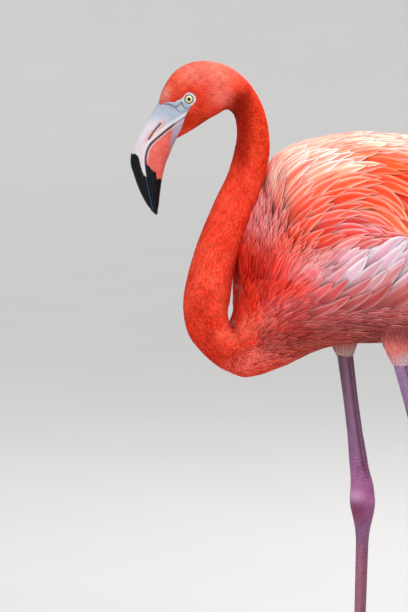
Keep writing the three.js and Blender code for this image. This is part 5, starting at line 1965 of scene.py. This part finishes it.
    def tertials(self, side: Side, rng: np.random.Generator) -> Sheet:
        """The long drooping feathers over the wing's end, from the rump's side past it."""
        rows = []
        for layer, (lift, reach, count) in enumerate(((2.0, 0.80, 11), (5.0, 0.62, 10), (8.0, 0.45, 9))):
            share = (np.arange(count) + 0.5) / count
            root = between((338, 40, 624), (352, 56, 516), share)
            root[:, 0] -= 22 * layer
            root[:, 1] += 10 * np.sin(math.pi * share) - 4 * layer * share
            tip = between((500, 17, 556), (514, 27, 530), share)
            tip[:, 0] += 12 * np.sin(math.pi * share)
            tip = root + (tip - root) * reach
            rows.append((root, tip, np.full(count, 11.0 - layer), lift))
        colour = np.array((0.88, 0.17, 0.10)), np.array((0.96, 0.60, 0.54))
        return joined([self.blades(side, *row, *colour, rng) for row in rows])

    def primaries(self, side: Side, rng: np.random.Generator) -> Sheet:
        """The black flight feathers that show under the tertials' tips."""
        share = np.linspace(0, 1, 6)
        root = between((352, 44, 606), (372, 50, 516), share)
        tip = between((468, 15, 553), (498, 24, 526), share)
        tip[:, 0] += 36 * np.sin(math.pi * blend(0.25, 0.85, share)) - 2
        colour = np.array((0.012, 0.010, 0.011)), np.array((0.03, 0.022, 0.022))
        return self.blades(side, root, tip, blend(13.5, 11.0, share), 0.0, *colour, rng)

    def blades(
        self,
        side: Side,
        root: Array,
        tip: Array,
        half: Array,
        lift: float,
        core: Array,
        edge: Array,
        rng: np.random.Generator,
    ) -> Sheet:
        """Long feathers of the wing's end.

        Args:
            side: Which wing.
            root: Roots, on the right side.
            tip: Tips, on the right side.
            half: Half widths.
            lift: How far the feathers' middles bow outwards.
            core: Colour of the shaft's side.
            edge: Colour of the vane's edges.
            rng: The wing's chance.

        Returns:
            Curved vanes: root to tip in a straight line, bowed outwards as sin(pi * u), with
            the vane standing upright at the bottom and leaning over the back at the top.
        """
        count, rows, columns = len(root), 13, 7
        u, v = np.linspace(0, 1, rows), np.linspace(-1, 1, columns)
        ahead = unit(tip - root)
        lean = np.linspace(0.85, 0.15, count)
        broad = points_at(0.0, -np.sin(lean), np.cos(lean))
        broad = unit(broad - ahead * dot(broad, ahead)[:, None])
        out = unit(np.cross(broad, ahead))
        out = out * np.sign(out[:, 1:2])
        shape = Vane(sharp=3.4, point=0.6).half_width(u)
        uneven = 1 + FRAYED * rng.uniform(-1, 1, (count, rows, columns))
        width = half[:, None, None] * shape[None, :, None] * uneven
        line = root[:, None] + (tip - root)[:, None] * u[None, :, None]
        bow = lift * (np.sin(math.pi * u) + 0.4) + rng.uniform(-0.6, 0.6, count)[:, None]
        points = line[:, :, None] + broad[:, None, None] * (width * v)[..., None]
        height = bow[:, :, None] - 0.22 * width * v**2 + 0.12 * width * v
        points = points + out[:, None, None] * height[..., None]
        points[..., 1] *= side.value
        chance = rng.uniform(0, 1, count)
        tone = np.exp(rng.normal(0, 0.08, (count, 1)))
        spot = 0.5 + side.value * 0.2 + 0.05 * np.linspace(0, 1, count)
        chart = np.stack([spot, np.full(count, 0.93 + 0.01 * (lift / 4))], axis=-1)
        return vanes(points, core * tone, edge * tone, 0.25 + 0.75 * u, chance, chart, side is Side.RIGHT)

    def tail(self) -> None:
        """Twelve tail feathers in a shallow fan, under a few rows of coverts."""
        rng = np.random.default_rng(SEED + 20)
        count, rows, columns = 12, 12, 7
        spread = np.linspace(-1, 1, count)
        layers = []
        for reach, half, rise in ((1.0, 10.5, 0.0), (0.72, 9.0, 3.0), (0.5, 8.0, 5.5)):
            root = points_at(405.0, 9 * spread, 509.0 + rise)
            tip = points_at(548 - 14 * spread**2, 42 * spread, 498 - 3 * spread**2)
            tip = root + (tip - root) * reach
            ahead = unit(tip - root)
            broad = unit(np.cross(np.array([0, 0, 1.0]), ahead))
            up = np.cross(ahead, broad)
            u, v = np.linspace(0, 1, rows), np.linspace(-1, 1, columns)
            shape = Vane(sharp=4.5, point=0.6).half_width(u)
            uneven = 1 + FRAYED * rng.uniform(-1, 1, (count, rows, columns))
            width = half * shape[None, :, None] * uneven
            line = root[:, None] + (tip - root)[:, None] * u[None, :, None]
            line = line + up[:, None] * (rise * np.sin(math.pi * u) * 0.6)[None, :, None]
            fold = 0.9 * (1 - np.abs(spread))[:, None, None]
            height = fold - 0.12 * width * v**2 + 0.06 * width * v * np.sign(spread)[:, None, None]
            points = line[:, :, None] + broad[:, None, None] * (width * v)[..., None]
            points = points + up[:, None, None] * height[..., None]
            chance = rng.uniform(0, 1, count)
            tone = np.exp(rng.normal(0, 0.07, (count, 1)))
            chart = np.stack([0.5 + 0.2 * spread, np.full(count, 0.5 + 0.02 * rise)], axis=-1)
            core, edge = np.array((0.86, 0.22, 0.16)) * tone, np.array((0.95, 0.58, 0.54)) * tone
            layers.append(vanes(points, core, edge, 0.3 + 0.7 * u, chance, chart))
        add_piece("tail_feathers", joined(layers), self.wing.make(), Slot.TAIL, "tail")

    def cuffs(self) -> None:
        """The smooth cuffs of small feathers at the tops of the legs."""
        finish = self.down.make()
        for k, leg in enumerate(LEGS):
            coat = Coat(Limb(leg), CuffPaint(leg), np.random.default_rng(SEED + 30 + k))
            place = coat.sow((0.0, 4.85), even(3.4), even(2.2), everywhere)
            left = coat.form.lengths[-1] - coat.form.length_at(place.t)
            length = np.minimum(12.0, left + 2.5)
            vane = Vane(3, 2, sharp=2.6, sink=2.5, lift=0.2, camber=0.3, fray=0.15, sway=0.05)
            sheet = coat.lay(place, length, 1.9, vane, along_rings, variety=0.06)
            name = f"thigh_{leg.side.word}"
            add_piece(f"{name}_feathers", sheet, finish, Slot.CUFF, name)

    def build(self) -> None:
        """Every tract in order."""
        self.head()
        self.neck()
        self.breast()
        self.belly()
        self.back()
        for side in Side:
            self.wing_side(side)
        self.tail()
        self.cuffs()


# ---------------- studio


@dataclass(frozen=True)
class Lamp:
    """A soft rectangular light: where it stands, what it is aimed at, and how strong it is."""

    name: str
    place: Point3
    aim: Point3
    size: float
    power: float
    colour: Colour = (1.0, 1.0, 1.0)

    def build(self) -> None:
        """The light, turned towards its aim."""
        place_light(
            self.name, "AREA", self.place, self.aim,
            shape="SQUARE", size=self.size, energy=self.power, color=self.colour,
        )


def put(name: str, data: bpy.types.ID, place: Sequence[float], aim: Sequence[float]) -> bpy.types.Object:
    """A new object at a place, its -Z pointing at its aim and its Y upwards."""
    thing = bpy.data.objects.new(name, data)
    bpy.context.scene.collection.objects.link(thing)
    thing.location = place
    thing.rotation_mode = "QUATERNION"
    thing.rotation_quaternion = (Vector(aim) - Vector(place)).to_track_quat("-Z", "Y")
    return thing


def place_light(name: str, kind: str, place: Point3, aim: Point3, **settings: float | str | Colour) -> None:
    """A light of a kind, turned towards its aim, with its settings."""
    data = bpy.data.lights.new(name, kind)
    for key, value in settings.items():
        setattr(data, key, value)
    put(name, data, place, aim)


@dataclass(frozen=True)
class Studio:
    """Floor, light and camera."""

    scale: float = 1.1  # millimetres to a pixel of the picture, at the aim
    picture_height: int = 612
    distance: float = 4.0
    azimuth: float = math.radians(-16)
    elevation: float = math.radians(5)
    aim: Point3 = (-33.2, 0.0, 502.7)  # in the maker's frame
    sensor: float = 36.0
    sun_place: Point3 = (0.9, -0.9, 2.6)  # direction that the even light comes from
    sun_power: float = 2.65
    sun_spread: float = math.radians(24)
    sky: Colour = (0.80, 0.82, 0.86)
    sky_power: float = 0.50
    floor_tone: float = 0.50
    floor_drop: float = 0.1  # how far the floor lies under the soles
    lamps: tuple[Lamp, ...] = (
        Lamp("rim", (1.2, 1.3, 2.3), (0.0, 0.0, 0.6), 1.0, 50.0, (1.0, 0.98, 0.95)),
        Lamp("fill", (-2.2, -2.4, 0.9), (-0.1, 0.0, 0.5), 1.6, 38.0, (0.97, 0.98, 1.0)),
    )

    def floor(self) -> None:
        """A wide pale floor that curves up far out on all sides, as 3f^2 - 2f^3."""
        bend = (14000, 26000)  # how far out the floor starts to rise and is upright
        reach = np.array([0.01, 300, 1000, 3000, 8000, *np.linspace(*bend, 25)])
        reach, spin = grid(reach, circle(96))
        z = 14000 * smooth(reach, *bend) - self.floor_drop
        points = points_at(reach * np.cos(spin), reach * np.sin(spin), z)
        bench = Bench("studio_floor")
        grain = bench.noise(bench.here(), 3.0, 2.0)
        tone = bench.grey(grain * 0.03 + self.floor_tone)
        quads = lattice(*points.shape[:2], True)
        floor = mesh_object("floor", Sheet(points.reshape(-1, 3), quads), bench.finish(Base_Color=tone))

    def camera(self) -> None:
        """The camera: its long side holds the picture's height at the aim."""
        data = bpy.data.cameras.new("camera")
        data.sensor_width = self.sensor
        data.lens = self.sensor * self.distance / (self.picture_height * self.scale * MM)
        data.clip_end = 200.0
        a, e = self.azimuth, self.elevation
        away = np.array([math.sin(a) * math.cos(e), -math.cos(a) * math.cos(e), math.sin(e)])
        aim = to_frame(np.array(self.aim))
        camera = put("camera", data, aim + away * self.distance, aim)
        bpy.context.scene.camera = camera

    def world(self) -> None:
        """Even pale light all round."""
        world = bpy.data.worlds.new("studio")
        world.use_nodes = True
        background = world.node_tree.nodes["Background"]
        background.inputs["Color"].default_value = (*self.sky, 1.0)
        background.inputs["Strength"].default_value = self.sky_power
        bpy.context.scene.world = world

    def sun(self) -> None:
        """An even light from above that casts soft shadows and lights the floor alike all over."""
        place_light(
            "key", "SUN", self.sun_place, (0.0, 0.0, 0.0),
            energy=self.sun_power, angle=self.sun_spread, color=(1.0, 0.98, 0.95),
        )

    def build(self) -> None:
        """Everything round the bird."""
        self.floor()
        self.camera()
        self.world()
        self.sun()
        for lamp in self.lamps:
            lamp.build()
        bpy.context.scene.view_settings.view_transform = "Standard"


def main() -> None:
    """Builds the bird and the studio, and notes the sizes."""
    logging.basicConfig(level=logging.INFO, format="%(name)s: %(message)s")
    form = BodyForm()
    bill = Bill(form)
    eye = Eye(form)
    markings = Markings()
    Studio().build()
    bill.build()
    for side in Side:
        eye.build(side)
    Skin(form, bill, eye, markings).build()
    build_claws()
    Plumage(form, bill, eye, markings).build()


if __name__ == "__main__":
    main()
